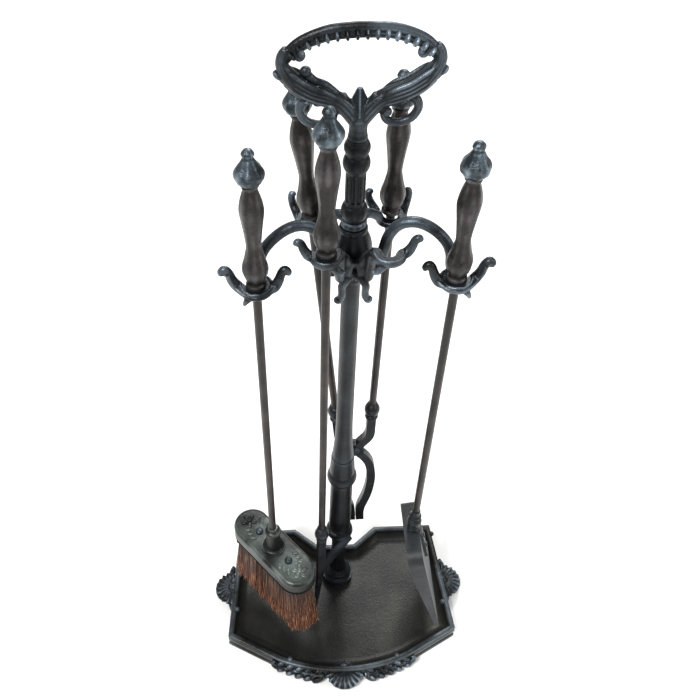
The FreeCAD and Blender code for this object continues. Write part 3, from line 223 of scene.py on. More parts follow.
slotMaterials = {"cast_iron": columnIron, "finial_iron": rubbedIron, "grip_iron": brownIron,
                 "rod_steel": rodSteel, "brush_metal": sheetIron, "pan_steel": sootedSheet,
                 "fastener": boltIron, "wood": beech, "bristle": coir}
for row in frame["record"]["subparts"]:
    nodeObject = frame["nodes"][row["node"]]
    nodeObject.data.materials.clear()
    nodeObject.data.materials.append(slotMaterials[row["material_slot"]])
print("stage: materials on every node")


# Mesh helpers.

def finishPiece(piece, body, material, nodes=()):
    piece.data.materials.clear()
    piece.data.materials.append(material)
    for face in piece.data.polygons:
        face.use_smooth = True
    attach(piece, body)
    if nodes:
        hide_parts(*nodes)
    return piece


def objectFrom(work, name):
    bmesh.ops.remove_doubles(work, verts=work.verts, dist=0.00002)
    bmesh.ops.recalc_face_normals(work, faces=work.faces)
    mesh = bpy.data.meshes.new(name)
    work.to_mesh(mesh)
    work.free()
    piece = bpy.data.objects.new(name, mesh)
    bpy.context.scene.collection.objects.link(piece)
    return piece


def bakeModifiers(piece, name):  # the evaluated shape, as a plain mesh of its own
    evaluated = piece.evaluated_get(bpy.context.evaluated_depsgraph_get())
    mesh = bpy.data.meshes.new_from_object(evaluated)
    mesh.name = name
    piece.modifiers.clear()
    old = piece.data
    piece.data = mesh
    bpy.data.meshes.remove(old)
    piece.name = name
    return piece


def castTogether(work, name, voxel, softening=3):  # joined solids become one soft-edged casting
    piece = objectFrom(work, name)
    remesh = piece.modifiers.new("skin", "REMESH")
    remesh.mode = "VOXEL"
    remesh.voxel_size = voxel * mm
    smooth = piece.modifiers.new("soften", "SMOOTH")
    smooth.factor = 0.5
    smooth.iterations = softening
    return bakeModifiers(piece, name)


def smoothPath(points, perRun=8):  # Catmull-Rom through the points; a fourth value is carried along
    points = [list(p) for p in points]
    ends = [points[0]] + points + [points[-1]]
    path = []
    for a, b, c, d in zip(ends, ends[1:], ends[2:], ends[3:]):
        for step in range(perRun):
            t = step / perRun
            path.append([0.5 * (2 * q + (r - p) * t + (2 * p - 5 * q + 4 * r - s) * t * t
                                + (3 * q - p - 3 * r + s) * t ** 3) for p, q, r, s in zip(a, b, c, d)])
    path.append(points[-1])
    return path


def addBar(work, points):
    # A tapering round bar: points are (x, y, z, radius) in mm from the column.
    sides, leastRadius = 14, 0.15
    path = smoothPath(points)
    places = [fromColumn(*p[:3]) for p in path]
    radii = [max(p[3], leastRadius) * mm for p in path]
    rings = []
    side = None
    for index, place in enumerate(places):
        ahead = places[min(index + 1, len(places) - 1)] - places[max(index - 1, 0)]
        ahead.normalize()
        side = side - ahead * side.dot(ahead) if side is not None else ahead.orthogonal()
        side.normalize()
        other = ahead.cross(side)
        ring = []
        for step in range(sides):
            turn = 2 * math.pi * step / sides
            offset = side * math.cos(turn) + other * math.sin(turn)
            ring.append(work.verts.new(place + offset * radii[index]))
        rings.append(ring)
    for one, two in zip(rings, rings[1:]):
        for step in range(sides):
            after = (step + 1) % sides
            work.faces.new((one[step], one[after], two[after], two[step]))
    work.faces.new(rings[0][::-1])
    work.faces.new(rings[-1])


def addBlob(work, x, y, z, radii, turn=None):  # an ellipsoid; radii in mm along its own axes
    spin = turn.to_matrix().to_4x4() if turn else Matrix.Identity(4)
    scale = Matrix.Diagonal((radii[0] * mm, radii[1] * mm, radii[2] * mm, 1))
    matrix = Matrix.Translation(fromColumn(x, y, z)) @ spin @ scale
    bmesh.ops.create_uvsphere(work, u_segments=14, v_segments=9, radius=1, matrix=matrix)


def mirrorPoints(points):
    return [(-p[0], *p[1:]) for p in points]


def latheRings(profile, foot, axis, segments=48, lobes=0, lobeDepth=0.0, lobeFrom=0.0):
    # A turned solid: profile is (radius, height) in mm; lobes press flats or petals into it.
    work = bmesh.new()
    turn = zAxis.rotation_difference(axis)
    rings = []
    for radius, height in profile:
        ring = []
        for step in range(segments):
            angle = 2 * math.pi * step / segments
            press = 1 - lobeDepth * (0.5 - 0.5 * math.cos(lobes * angle)) if lobes and height >= lobeFrom else 1
            local = Vector((math.cos(angle) * radius * press, math.sin(angle) * radius * press, height)) * mm
            ring.append(work.verts.new(foot + turn @ local))
        rings.append(ring)
    for one, two in zip(rings, rings[1:]):
        for step in range(segments):
            after = (step + 1) % segments
            work.faces.new((one[step], one[after], two[after], two[step]))
    work.faces.new(rings[0][::-1])
    work.faces.new(rings[-1])
    return work


def flattenSeat(piece, x, y, seat, radius):  # the flat seat, and the way clear above it, for a grip
    centre = fromColumn(x, y, seat)
    way = 6 * mm  # how far above the seat it is kept clear
    for vertex in piece.data.vertices:
        across = (vertex.co.xy - centre.xy).length
        rise = vertex.co.z - centre.z
        if across < radius * mm and 0 < rise < way:
            vertex.co.z = centre.z


# Geometry node helpers.

def newTree(name, sizes):  # sizes: input name to (socket kind, value)
    tree = bpy.data.node_groups.new(name, "GeometryNodeTree")
    tree.interface.new_socket("Geometry", in_out="INPUT", socket_type="NodeSocketGeometry")
    for key, (kind, value) in sizes.items():
        socket = tree.interface.new_socket(key, in_out="INPUT", socket_type=kind)
        if value is not None:
            socket.default_value = value
    tree.interface.new_socket("Geometry", in_out="OUTPUT", socket_type="NodeSocketGeometry")
    return tree, addNode(tree, "NodeGroupInput")


def closeTree(tree, given, geometry):  # every tree ends in Realize Instances and Set Material
    real = addNode(tree, "GeometryNodeRealizeInstances", {}, {"Geometry": geometry})
    coated = addNode(tree, "GeometryNodeSetMaterial", {},
                     {"Geometry": real.outputs[0], "Material": given.outputs["Material"]})
    addNode(tree, "NodeGroupOutput", {}, {"Geometry": coated.outputs[0]})


def runTree(piece, tree, values, name):
    modifier = piece.modifiers.new("made", "NODES")
    modifier.node_group = tree
    for item in tree.interface.items_tree:
        if item.item_type == "SOCKET" and item.in_out == "INPUT" and item.name in values:
            modifier[item.identifier] = values[item.name]
    return bakeModifiers(piece, name)


# Tray.

tray = {
    "rear": (119, 57), "front": (132, -79), "bow": (75, -110), "bowSag": 15, "notch": (49, 22, 34),
    "rim": 24, "stepLength": 5,
    "profile": [(17, 8), (12.2, 8), (12, 7.6), (12, 0.5), (11.5, 0), (1, 0), (0.3, 0.5), (0, 1.4), (0, 5),
                (0.8, 6.4), (1.8, 7.4), (1.6, 9), (0.5, 11.5), (0.1, 15), (0.5, 18.5), (1.3, 20), (0.4, 21),
                (0.2, 22.4), (0.8, 23.6), (2.2, 23.9), (4, 24), (5.6, 23.6), (6.5, 22.6), (6.8, 21.2),
                (7.4, 19.6), (8.8, 17.4), (10.6, 15.3), (12.6, 13.6), (14.6, 12.6), (16.8, 12.05), (20, 12)],
    "beads": [(124.5, -46), (64, -109), (123, 44)], "beadRadius": 3.2,
}


def trayCorners():
    half, count = tray["bow"][0], 14
    radius = (half ** 2 + tray["bowSag"] ** 2) / (2 * tray["bowSag"])
    middle = tray["bow"][1] - tray["bowSag"] + radius
    bow = [(x, middle - math.sqrt(radius ** 2 - x ** 2))
           for x in (half * (2 * step / count - 1) for step in range(count + 1))]
    rearX, rearY = tray["rear"]
    notchX, notchFloor, notchY = tray["notch"]
    right = [tray["front"], (rearX, rearY), (notchX, rearY), (notchFloor, notchY)]
    return [Vector(p) for p in bow + right + [(-x, y) for x, y in reversed(right)]]


def insetCorners(corners, inset):  # every edge moved inwards by inset, corners mitred
    moved = []
    for index, corner in enumerate(corners):
        before, after = corners[index - 1], corners[(index + 1) % len(corners)]
        one, two = (corner - before).normalized(), (after - corner).normalized()
        normalOne, normalTwo = Vector((-one.y, one.x)), Vector((-two.y, two.x))
        bisector = (normalOne + normalTwo).normalized()
        moved.append(corner + bisector * (inset / max(bisector.dot(normalOne), 0.3)))
    return moved


def makeTray():
    work = bmesh.new()
    corners = trayCorners()
    counts = [max(1, round((b - a).length / tray["stepLength"]))
              for a, b in zip(corners, corners[1:] + corners[:1])]
    rings = []
    for inset, height in tray["profile"]:
        moved = insetCorners(corners, inset)
        ring = []
        for a, b, count in zip(moved, moved[1:] + moved[:1], counts):
            for step in range(count):
                point = a.lerp(b, step / count)
                ring.append(work.verts.new(fromColumn(point.x, point.y, height)))
        rings.append(ring)
    size = len(rings[0])
    for one, two in zip(rings, rings[1:]):
        for step in range(size):
            after = (step + 1) % size
            work.faces.new((one[step], one[after], two[after], two[step]))
    for ring in (rings[0], rings[-1]):
        edges = [work.edges.get((ring[step], ring[(step + 1) % size])) for step in range(size)]
        bmesh.ops.triangle_fill(work, edges=edges, use_beauty=True)
    for x, y in tray["beads"]:
        for side in (-1, 1):
            addBlob(work, side * (x - 3), y, tray["rim"] - 1.2, (tray["beadRadius"],) * 3)
    piece = objectFrom(work, "trayDish")
    finishPiece(piece, "stand", trayIron, ("base_tray",))


shell = {"radius": 22.5, "ribs": 11, "fan": 170, "ribWidth": 3.3, "ribHeight": 3.2, "thickness": 8, "foot": 6.5,
         "hub": 5.2, "voxel": 0.9, "side": (126.5, -15), "front": -118.5, "frontGrow": 1.05}


def shellTree():
    # Ribs fanned about a hub: points on an arc, a long egg on each, turned to face outwards.
    tree, given = newTree("shellRibs", {
        "Ribs": ("NodeSocketInt", 11), "Radius": ("NodeSocketFloat", 0.02), "Fan": ("NodeSocketFloat", 3.0),
        "Rib Width": ("NodeSocketFloat", 0.003), "Rib Height": ("NodeSocketFloat", 0.003),
        "Material": ("NodeSocketMaterial", None)})
    line = addNode(tree, "GeometryNodeMeshLine", {"mode": "OFFSET"}, {"Count": given.outputs["Ribs"]})
    index = addNode(tree, "GeometryNodeInputIndex").outputs[0]
    last = addNode(tree, "ShaderNodeMath", {"operation": "SUBTRACT", 1: 1.0}, {0: given.outputs["Ribs"]})
    share = addNode(tree, "ShaderNodeMath", {"operation": "DIVIDE"}, {0: index, 1: last.outputs[0]})
    centred = addNode(tree, "ShaderNodeMath", {"operation": "SUBTRACT", 1: 0.5}, {0: share.outputs[0]})
    turn = addNode(tree, "ShaderNodeMath", {"operation": "MULTIPLY"},
                   {0: centred.outputs[0], 1: given.outputs["Fan"]}).outputs[0]
    half = addNode(tree, "ShaderNodeMath", {"operation": "MULTIPLY", 1: 0.5},
                   {0: given.outputs["Radius"]}).outputs[0]
    cosine = addNode(tree, "ShaderNodeMath", {"operation": "COSINE"}, {0: turn}).outputs[0]
    sine = addNode(tree, "ShaderNodeMath", {"operation": "SINE"}, {0: turn}).outputs[0]
    placeX = addNode(tree, "ShaderNodeMath", {"operation": "MULTIPLY"}, {0: cosine, 1: half}).outputs[0]
    placeY = addNode(tree, "ShaderNodeMath", {"operation": "MULTIPLY"}, {0: sine, 1: half}).outputs[0]
    place = addNode(tree, "ShaderNodeCombineXYZ", {}, {"X": placeX, "Y": placeY}).outputs[0]
    moved = addNode(tree, "GeometryNodeSetPosition", {}, {"Geometry": line.outputs[0], "Position": place})
    rotation = addNode(tree, "ShaderNodeCombineXYZ", {}, {"Z": turn}).outputs[0]
    size = addNode(tree, "ShaderNodeCombineXYZ", {},
                   {"X": half, "Y": given.outputs["Rib Width"], "Z": given.outputs["Rib Height"]}).outputs[0]
    egg = addNode(tree, "GeometryNodeMeshUVSphere", {"Segments": 12, "Rings": 10, "Radius": 1.0}).outputs[0]
    ribs = addNode(tree, "GeometryNodeInstanceOnPoints", {},
                   {"Points": moved.outputs[0], "Instance": egg, "Rotation": rotation, "Scale": size})
    closeTree(tree, given, ribs.outputs[0])
    return tree


def makeShell(tree, name, x, y, facing, grow=1.0):
    seed = objectFrom(bmesh.new(), name)
    ribs = runTree(seed, tree, {"Ribs": shell["ribs"], "Radius": shell["radius"] * grow * mm,
                                "Fan": math.radians(shell["fan"]), "Rib Width": shell["ribWidth"] * mm,
                                "Rib Height": shell["ribHeight"] * mm, "Material": castIron}, name)
    work = bmesh.new()
    work.from_mesh(ribs.data)
    low = shell["foot"] + shell["thickness"]
    work.transform(Matrix.Translation(fromColumn(x, y, low)) @ Matrix.Rotation(math.radians(facing), 4, "Z"))
    bpy.data.objects.remove(ribs)
    out = Vector((math.cos(math.radians(facing)), math.sin(math.radians(facing))))
    bulge = shell["radius"] * grow
    addBlob(work, x + out.x * bulge * 0.28, y + out.y * bulge * 0.28, low - 2.5,
            (bulge * 0.72, bulge * 0.80, 5.0), Quaternion(zAxis, math.radians(facing)))
    addBlob(work, x, y, low + 2.5, (shell["hub"], shell["hub"], 4.2))
    for side in (-1, 1):  # a low leaf scroll to each side, hugging the rim
        across = Vector((-out.y, out.x)) * side
        addBlob(work, x + across.x * 9, y + across.y * 9, low + 1, (4, 4, 3))
        scroll = [(x + across.x * r + out.x * b, y + across.y * r + out.y * b, low - 3, thick)
                  for r, b, thick in ((12, 2.0, 3.4), (19, 2.6, 3.6), (25, 1.6, 3.0), (30, 0.2, 2.0))]
        addBar(work, scroll)
        addBlob(work, x + across.x * 24, y + across.y * 24 + out.y * 0.6, low - 1, (3.2, 3.2, 3.0))
    piece = castTogether(work, name, shell["voxel"])
    finishPiece(piece, "stand", castIron)


leafEdge = {"start": 23, "end": 75, "lobes": 5, "lobeLength": 8.2, "lobeWidth": 4.8, "height": 11.5,
            "voxel": 0.8}


def makeLeafEdge(side):
    # An acanthus leaf laid along the bow: broad overlapping lobes on a stalk, ending in a curl.
    work = bmesh.new()
    name = "leafEdgeRight" if side > 0 else "leafEdgeLeft"
    span = leafEdge["end"] - leafEdge["start"]

    def edgeAt(x):  # the tray's bow, near enough
        return tray["bow"][1] - tray["bowSag"] + tray["bowSag"] * (x / tray["bow"][0]) ** 2

    stalk = []
    for step in range(leafEdge["lobes"] + 1):
        x = leafEdge["start"] + span * step / leafEdge["lobes"]
        stalk.append((side * x, edgeAt(x) - 1.5, leafEdge["height"], 4.6 - 0.3 * step))
    addBar(work, stalk)
    for step in range(leafEdge["lobes"]):
        x = leafEdge["start"] + span * (step + 0.4) / leafEdge["lobes"]
        size = 1.12 - 0.09 * step
        turn = Quaternion(zAxis, math.radians(-90 + side * (58 + 3 * step)))
        addBlob(work, side * (x + 2), edgeAt(x) - 3.2 * size, leafEdge["height"] - 0.5,
                (leafEdge["lobeLength"] * size, leafEdge["lobeWidth"] * size, 4.2), turn)
        addBlob(work, side * (x + 4), edgeAt(x) - 6.0 * size, leafEdge["height"] + 1.5,
                (3.4 * size, 2.4, 3.2), turn)
        addBlob(work, side * (x + 1.0), edgeAt(x) + 1.6, leafEdge["height"] + 7, (6.2, 3.0, 3.4),
                Quaternion(zAxis, math.radians(-side * 24)))
    end = leafEdge["end"]
    curl = [(side * (end - 6), edgeAt(end - 6) - 1, leafEdge["height"], 3.6),
            (side * (end + 1), edgeAt(end) - 3, leafEdge["height"] + 2, 3.4),
            (side * (end + 5), edgeAt(end) - 1, leafEdge["height"] + 5, 3.0),
            (side * (end + 4), edgeAt(end) + 2.5, leafEdge["height"] + 7, 2.8)]
    addBar(work, curl)
    piece = castTogether(work, name, leafEdge["voxel"])
    finishPiece(piece, "stand", castIron)


makeTray()
ribTree = shellTree()
sideX, sideY = shell["side"]
makeShell(ribTree, "shellRight", sideX, sideY, 0)
makeShell(ribTree, "shellLeft", -sideX, sideY, 180)
makeShell(ribTree, "shellFront", 0, shell["front"], -90, shell["frontGrow"])
makeLeafEdge(1)
makeLeafEdge(-1)
print("stage: tray and shells made")


# Hooks.

hooks = {"outerX": 73.5, "innerX": 22.4, "frontY": -38, "rearX": 30.5, "rearY": 22, "outerSeat": 557,
         "innerSeat": 586, "rearSeat": 568, "ring": 9, "passage": 10.9,
         "frontVoxel": 0.75, "rearVoxel": 0.8, "tendrilVoxel": 0.7}


def ringPoints(x, y, z, degrees, thick):
    reach = hooks["ring"]
    return [(x + reach * math.cos(math.radians(a)), y + reach * math.sin(math.radians(a)), z, thick)
            for a in degrees]


def makeFrontHooks():
    work = bmesh.new()
    x, y, seat = hooks["outerX"], hooks["frontY"], hooks["outerSeat"]
    z = seat - 2.6
    outer = [(5, -3, 540, 5.4), (17.4, -10.3, 542, 5.0), (21.5, -11.9, 560, 4.6), (25, -11.8, 577, 4.4),
             (32.3, -13.0, 588.5, 4.3), (42, -15.4, 592.6, 4.3), (51, -17.8, 591, 4.3), (60, -20.2, 585, 4.3),
             (67, -21.6, 576, 4.3), (70.4, -22.2, 566, 4.2), (71, -23.5, 558, 4.1)]
    outer += ringPoints(x, y, z, (105, 145, 185, 225, 265, 305), 4.3)
    outer += [(x + 13.5, y, z + 1.5, 4.4), (x + 17.3, y + 1, z + 7, 4.0), (x + 19.6, y + 2, z + 13.5, 3.5),
              (x + 22.4, y + 2, z + 16.8, 3.3), (x + 25, y + 2, z + 14.8, 2.9), (x + 24.8, y + 2, z + 11.6, 2.1)]
    leaf = [(x - 8.4, y - 3, z, 4.3), (x - 13.4, y - 1.5, z + 1.5, 4.3), (x - 16.8, y, z + 7, 3.8),
            (x - 18.8, y + 1, z + 13, 3.3), (x - 21.2, y + 1, z + 16, 3.1), (x - 23.8, y + 1, z + 13.8, 2.7),
            (x - 23.4, y + 1, z + 11, 2.0)]
    ridge = [(x - 15, y - 3.6, z + 3.5, 1.6), (x - 8, y - 9.5, z + 0.6, 1.7), (x, y - 12.4, z + 0.2, 1.7),
             (x + 8, y - 9.5, z + 0.6, 1.7), (x + 15.5, y - 3.2, z + 3.8, 1.6), (x + 20, y - 1.2, z + 13.5, 1.4)]
    spike = [(x + 5, y - 9.4, z - 1, 3.0), (x + 8, y - 10.6, z - 4.5, 2.2), (x + 9.5, y - 10.6, z - 8, 1.2)]
    x, seat = hooks["innerX"], hooks["innerSeat"]
    z = seat - 2.6
    inner = [(3, -5, 540, 5.0), (9.6, -18.5, 542, 4.6), (11, -23, 555, 4.2), (11.4, -27, 568, 4.1),
             (12, -30.5, 577, 4.0)]
    inner += ringPoints(x, y, z, (175, -145, -110, -75, -40, -10), 4.2)
    inner += [(x + 13, y, z + 1.5, 4.0), (x + 16, y + 1, z + 6, 3.5), (x + 17.8, y + 2, z + 10.5, 3.1),
              (x + 20.4, y + 2, z + 12.4, 2.8), (x + 22, y + 2, z + 9.8, 2.2)]
    tip = [(x - 4, y - 8, z - 1, 3.8), (x - 7, y - 10.2, z - 4.5, 3.0), (x - 9.5, y - 10, z - 7.5, 2.6),
           (x - 11.6, y - 9, z - 6, 1.8)]
    crown = [(3, -17, 551, 3.4), (5, -21, 560, 3.2), (7.6, -22.6, 567, 3.0), (10.4, -23, 570.5, 2.8),
             (12.6, -23.4, 567.6, 2.3)]
    wing = [(6, -17, 547, 3.6), (11, -21, 549, 3.3), (15.6, -22, 554.5, 2.9), (18.6, -22.6, 557, 2.7),
            (20.2, -22.6, 553.6, 2.2)]
    breast = [(0.5, -15, 538, 3.4), (4, -18.5, 545, 4.0), (4.4, -20.4, 553, 3.8), (1.5, -20, 560, 3.2)]
    for bar in (outer, leaf, ridge, spike, inner, tip, crown, wing, breast):
        addBar(work, bar)
        addBar(work, mirrorPoints(bar))
    for step, height in enumerate((535.5, 539, 542, 544.5)):  # the sleeve
        addBlob(work, 0, 0, height, (10.2, 10.2, 3.3))
    piece = castTogether(work, "frontHooks", hooks["frontVoxel"], 2)
    for side in (1, -1):
        flattenSeat(piece, side * hooks["outerX"], y, hooks["outerSeat"], hooks["passage"])
        flattenSeat(piece, side * hooks["innerX"], y, hooks["innerSeat"], hooks["passage"])
    finishPiece(piece, "stand", castIron, ("front_hook_bracket",))


def makeRearHooks():
    work = bmesh.new()
    x, y, seat = hooks["rearX"], hooks["rearY"], hooks["rearSeat"]
    z = seat - 2.4
    stem = [(4, 3, 582, 4.4), (11, 8, 582, 4.0), (19, 14, 574, 3.8), (23, 17, 566, 3.8)]
    cup = [(x - 13.4, y + 13, z + 13, 1.8), (x - 15.4, y + 13.4, z + 14.6, 2.6), (x - 16.6, y + 13, z + 11.6, 3.0),
           (x - 14.6, y + 11.6, z + 5, 3.3), (x - 11, y + 7, z + 1, 3.6)]
    cup += ringPoints(x, y, z, (180, 220, 270, 320, 360), 3.7)
    cup += [(x + 11, y + 7, z + 1, 3.6), (x + 13.4, y + 11.6, z + 5, 3.3), (x + 14.6, y + 13, z + 11.6, 3.0),
            (x + 13.6, y + 13.4, z + 14.6, 2.6), (x + 11.6, y + 13, z + 13, 1.8)]
    for bar in (stem, cup):
        addBar(work, bar)
        addBar(work, mirrorPoints(bar))
    for height in (580, 582, 584):
        addBlob(work, 0, 0, height, (10.2, 10.2, 2.0))
    piece = castTogether(work, "rearHooks", hooks["rearVoxel"])
    for side in (1, -1):
        flattenSeat(piece, side * x, y, seat, hooks["passage"])
    finishPiece(piece, "stand", castIron, ("rear_hook_bracket",))


def makeTendrils():
    work = bmesh.new()
    fork = [(0.5, -9, 549, 2.6), (2.4, -16.5, 548.6, 2.9), (2.9, -20.2, 545, 3.0), (6.2, -21.6, 541.5, 3.2),
            (9.2, -21.8, 535.5, 3.2), (9.0, -21.8, 529, 3.0), (9.6, -21.8, 523.4, 3.1), (12.6, -21.8, 520.4, 2.6)]
    sideScroll = [(8, 3, 550, 2.4), (16, 3, 549, 2.2), (20.5, 2, 543, 2.2), (20.6, 1, 539.5, 2.6),
                  (18, 1, 539, 1.8)]
    for bar in (fork, sideScroll):
        addBar(work, bar)
        addBar(work, mirrorPoints(bar))
    addBlob(work, 0, 0, 550, (11.4, 11.4, 2.0))
    for side in (-1, 1):
        addBlob(work, side * 11.6, -21.8, 520.6, (3.8, 3.2, 3.4))
        addBlob(work, side * 20.2, 1, 540, (2.8, 2.6, 2.8))
    piece = castTogether(work, "leafTendrils", hooks["tendrilVoxel"])
    finishPiece(piece, "stand", castIron, ("leaf_tendrils",))


makeFrontHooks()
makeRearHooks()
makeTendrils()
print("stage: hooks made")


# Carrying handle.

handle = {"base": 656, "voxel": 0.6, "dentils": 16, "dentilSize": (3.6, 12.4, 8.4), "dentilDrop": 4.4,
          "bud": {"foot": 10.4, "tip": 2.2, "height": 19, "middle": 685.5, "flat": 0.66}}


def archPath(drop=0.0):  # the arch's centre line, mm from the column; drop lowers it
    right = [(50, 0, 712), (47.5, 0, 720), (38, 0, 729.2), (22, 0, 735.8), (7, 0, 737.6)]
    return [(x, y, z - drop) for x, y, z in right + [(-x, y, z) for x, y, z in reversed(right)]]


def dentilTree():
    # Blocks set along a line: the line is resampled and a block stands on each point, turned with the line.
    tree, given = newTree("dentils", {
        "Blocks": ("NodeSocketInt", 12), "Block Size": ("NodeSocketVector", (0.002, 0.005, 0.003)),
        "Material": ("NodeSocketMaterial", None)})
    curve = addNode(tree, "GeometryNodeMeshToCurve", {}, {"Mesh": given.outputs["Geometry"]})
    spaced = addNode(tree, "GeometryNodeResampleCurve", {},
                     {"Curve": curve.outputs[0], "Count": given.outputs["Blocks"]})
    tangent = addNode(tree, "GeometryNodeInputTangent").outputs[0]
    turn = addNode(tree, "FunctionNodeAlignEulerToVector", {"axis": "X", "pivot_axis": "Y"},
                   {"Vector": tangent}).outputs[0]
    block = addNode(tree, "GeometryNodeMeshUVSphere", {"Segments": 10, "Rings": 8, "Radius": 0.5}).outputs[0]
    blocks = addNode(tree, "GeometryNodeInstanceOnPoints", {},
                     {"Points": spaced.outputs[0], "Instance": block, "Rotation": turn,
                      "Scale": given.outputs["Block Size"]})
    closeTree(tree, given, blocks.outputs[0])
    return tree


def makeHandle():
    base = handle["base"]
    work = latheRings([(6.9, 0), (7.0, 1.5), (6.4, 4), (6.2, 8), (6.6, 12), (7.0, 16), (6.0, 22), (4, 26)],
                      fromColumn(0, 0, base), zAxis, 32)
    arch = archPath(0.3)
    addBar(work, [(x, y, z, 3.0) for x, y, z in arch])
    addBar(work, [(x, y, z, 1.5) for x, y, z in archPath(handle["dentilDrop"])[1:-1]])
    addBar(work, [(x, y, z, 1.0) for x, y, z in archPath(7.2)[1:-1]])
    arm = [(0, 0, 668, 6.0), (6, 0, 677, 6.2), (13, 0, 685, 5.9), (23, 0, 690.5, 5.6), (33, 0, 694.5, 5.8),
           (41.5, 0, 700, 6.0), (47, 0, 706.5, 5.4), (50, 0, 713, 4.2), (49.6, 0, 719, 3.5), (46.6, 0, 723.6, 3.0)]
    lowerEdge = [(9, 0, 675.5, 2.8), (18, 0, 682.5, 3.0), (30, 0, 687, 3.2), (40, 0, 692.5, 3.0),
                 (47.5, 0, 700, 2.8)]
    scroll = [(17, 0, 686, 2.8), (28, 0, 689, 3.2), (36.5, 0, 685.5, 3.3), (39, 0, 678.5, 3.1),
              (35, 0, 670.8, 3.0), (27, 0, 667.6, 3.0), (19.6, 0, 669, 2.8), (16.6, 0, 674, 2.8),
              (18.8, 0, 678, 2.8)]
    hanging = [(44, 0, 724.6, 2.6), (41.6, 0, 720.4, 2.8), (38.5, 0, 717.8, 3.0), (36.4, 0, 720.0, 2.2)]
    sprig = [(14, 0, 690, 2.4), (22, 0, 697, 2.9), (29, 0, 700.6, 2.8), (34, 0, 705.5, 3.0), (35, 0, 708.6, 2.6)]
    for bar in (arm, lowerEdge, scroll, hanging):
        addBar(work, bar)
        addBar(work, mirrorPoints(bar))
    addBar(work, mirrorPoints(sprig))
    for lift in (4.4, 1.6, -1.2, -4.0):  # long grooves' ridges on both faces of each arm
        for front in (-1, 1):
            ridge = [(12 + 0.4 * lift, front * 3.6, 685.5 + 0.7 * lift, 1.0), (22, front * 4.9, 690.5 + lift, 1.5),
                     (32, front * 5.0, 694.6 + 1.1 * lift, 1.6), (41, front * 4.8, 700.6 + 1.2 * lift, 1.5),
                     (46.5 + 0.2 * lift, front * 3.2, 704.6 + 1.2 * lift, 0.8)]
            addBar(work, ridge)
            addBar(work, mirrorPoints(ridge))
    for side in (-1, 1):
        for step in range(7):  # leaf points fanning off the arm's outer and lower edge
            share = step / 6
            x = 25 + 27 * share
            z = 688 + 16 * share + 4 * share ** 2
            turn = Quaternion(yAxis, math.radians(side * (28 - 62 * share)))
            addBlob(work, side * x, 0, z - 2.5, (5.8 - 1.2 * share, 3.6, 2.8), turn)
        addBlob(work, side * 38, 0, 719.5, (3.2, 3.0, 3.0))
        addBlob(work, side * 18.4, 0, 675.8, (3.7, 3.4, 3.5))
    addBlob(work, -35, 0, 707.6, (3.9, 3.6, 3.8))
    bud = bmesh.new()
    shape = handle["bud"]
    place = Matrix.Translation(fromColumn(0, 0, shape["middle"])) @ Matrix.Diagonal((1, shape["flat"], 1, 1))
    bmesh.ops.create_cone(bud, cap_ends=True, segments=4, radius1=shape["foot"] * mm, radius2=shape["tip"] * mm,
                          depth=shape["height"] * mm, matrix=place)
    budMesh = bpy.data.meshes.new("bud")
    bud.to_mesh(budMesh)
    bud.free()
    work.from_mesh(budMesh)
    bpy.data.meshes.remove(budMesh)
    for side in (-1, 1):
        addBar(work, [(side * 8, 0, 680, 3.0), (side * 8.6, 0, 686, 2.4), (side * 10.6, 0, 690.6, 1.8)])
    piece = castTogether(work, "carryHandle", handle["voxel"], 2)
    finishPiece(piece, "stand", castIron, ("carry_handle",))

    line = bmesh.new()
    spots = [line.verts.new(fromColumn(*p[:3])) for p in smoothPath(archPath(handle["dentilDrop"]), 6)[9:-9]]
    for one, two in zip(spots, spots[1:]):
        line.edges.new((one, two))
    mesh = bpy.data.meshes.new("archDentils")
    line.to_mesh(mesh)
    line.free()
    seed = bpy.data.objects.new("archDentils", mesh)
    bpy.context.scene.collection.objects.link(seed)
    size = [value * mm for value in handle["dentilSize"]]
    blocks = runTree(seed, dentilTree(), {"Blocks": handle["dentils"], "Block Size": size,
                                          "Material": castIron}, "archDentils")
    finishPiece(blocks, "stand", castIron)


makeHandle()
print("stage: carrying handle made")


# Grips and finials.

grip = {"profile": [(3.4, 0), (7.2, 0), (7.5, 0.8), (7.4, 2.2), (6.6, 3.4), (6.3, 4.4), (7.4, 7), (9.0, 11),
                    (9.7, 15), (9.7, 18), (9.0, 22), (7.6, 27), (6.6, 32), (5.8, 36), (5.6, 39.5), (5.9, 44),
                    (6.5, 50), (7.3, 57), (8.2, 64), (8.75, 69.5), (8.7, 73), (8.0, 78), (6.8, 83), (5.6, 87),
                    (5.1, 89.4), (5.4, 90.4), (6.2, 91.2), (6.4, 92.4), (6.1, 93.6), (3.4, 94)],
        "flats": 8, "flatDepth": 0.05,
        "finial": [(3.4, 0), (5.6, 0), (7.4, 1), (9.8, 3.6), (10.55, 6.4), (10.4, 8.8), (9.2, 11.4), (7.4, 13.8),
                   (5.8, 16.2), (4.6, 18.6), (3.7, 20.2), (3.9, 21.2), (4.5, 22.4), (4.4, 23.8), (3.4, 25.4),
                   (1.8, 26.6), (0.3, 26.9)],
        "petals": 8, "petalDepth": 0.06, "length": 94, "intoFinial": 8}
tools = ("brush", "poker", "shovel", "tongs_left", "tongs_right")  # each is also its body's name


def rodEnds(node):  # centres of a rod's two ends, from its own mesh
    spots = [v.co for v in frame["nodes"][node].data.vertices]
    middle = (min(s.z for s in spots) + max(s.z for s in spots)) / 2
    ends = []
    for group in ([s for s in spots if s.z < middle], [s for s in spots if s.z > middle]):
        ends.append(sum(group, Vector()) / len(group))
    return ends


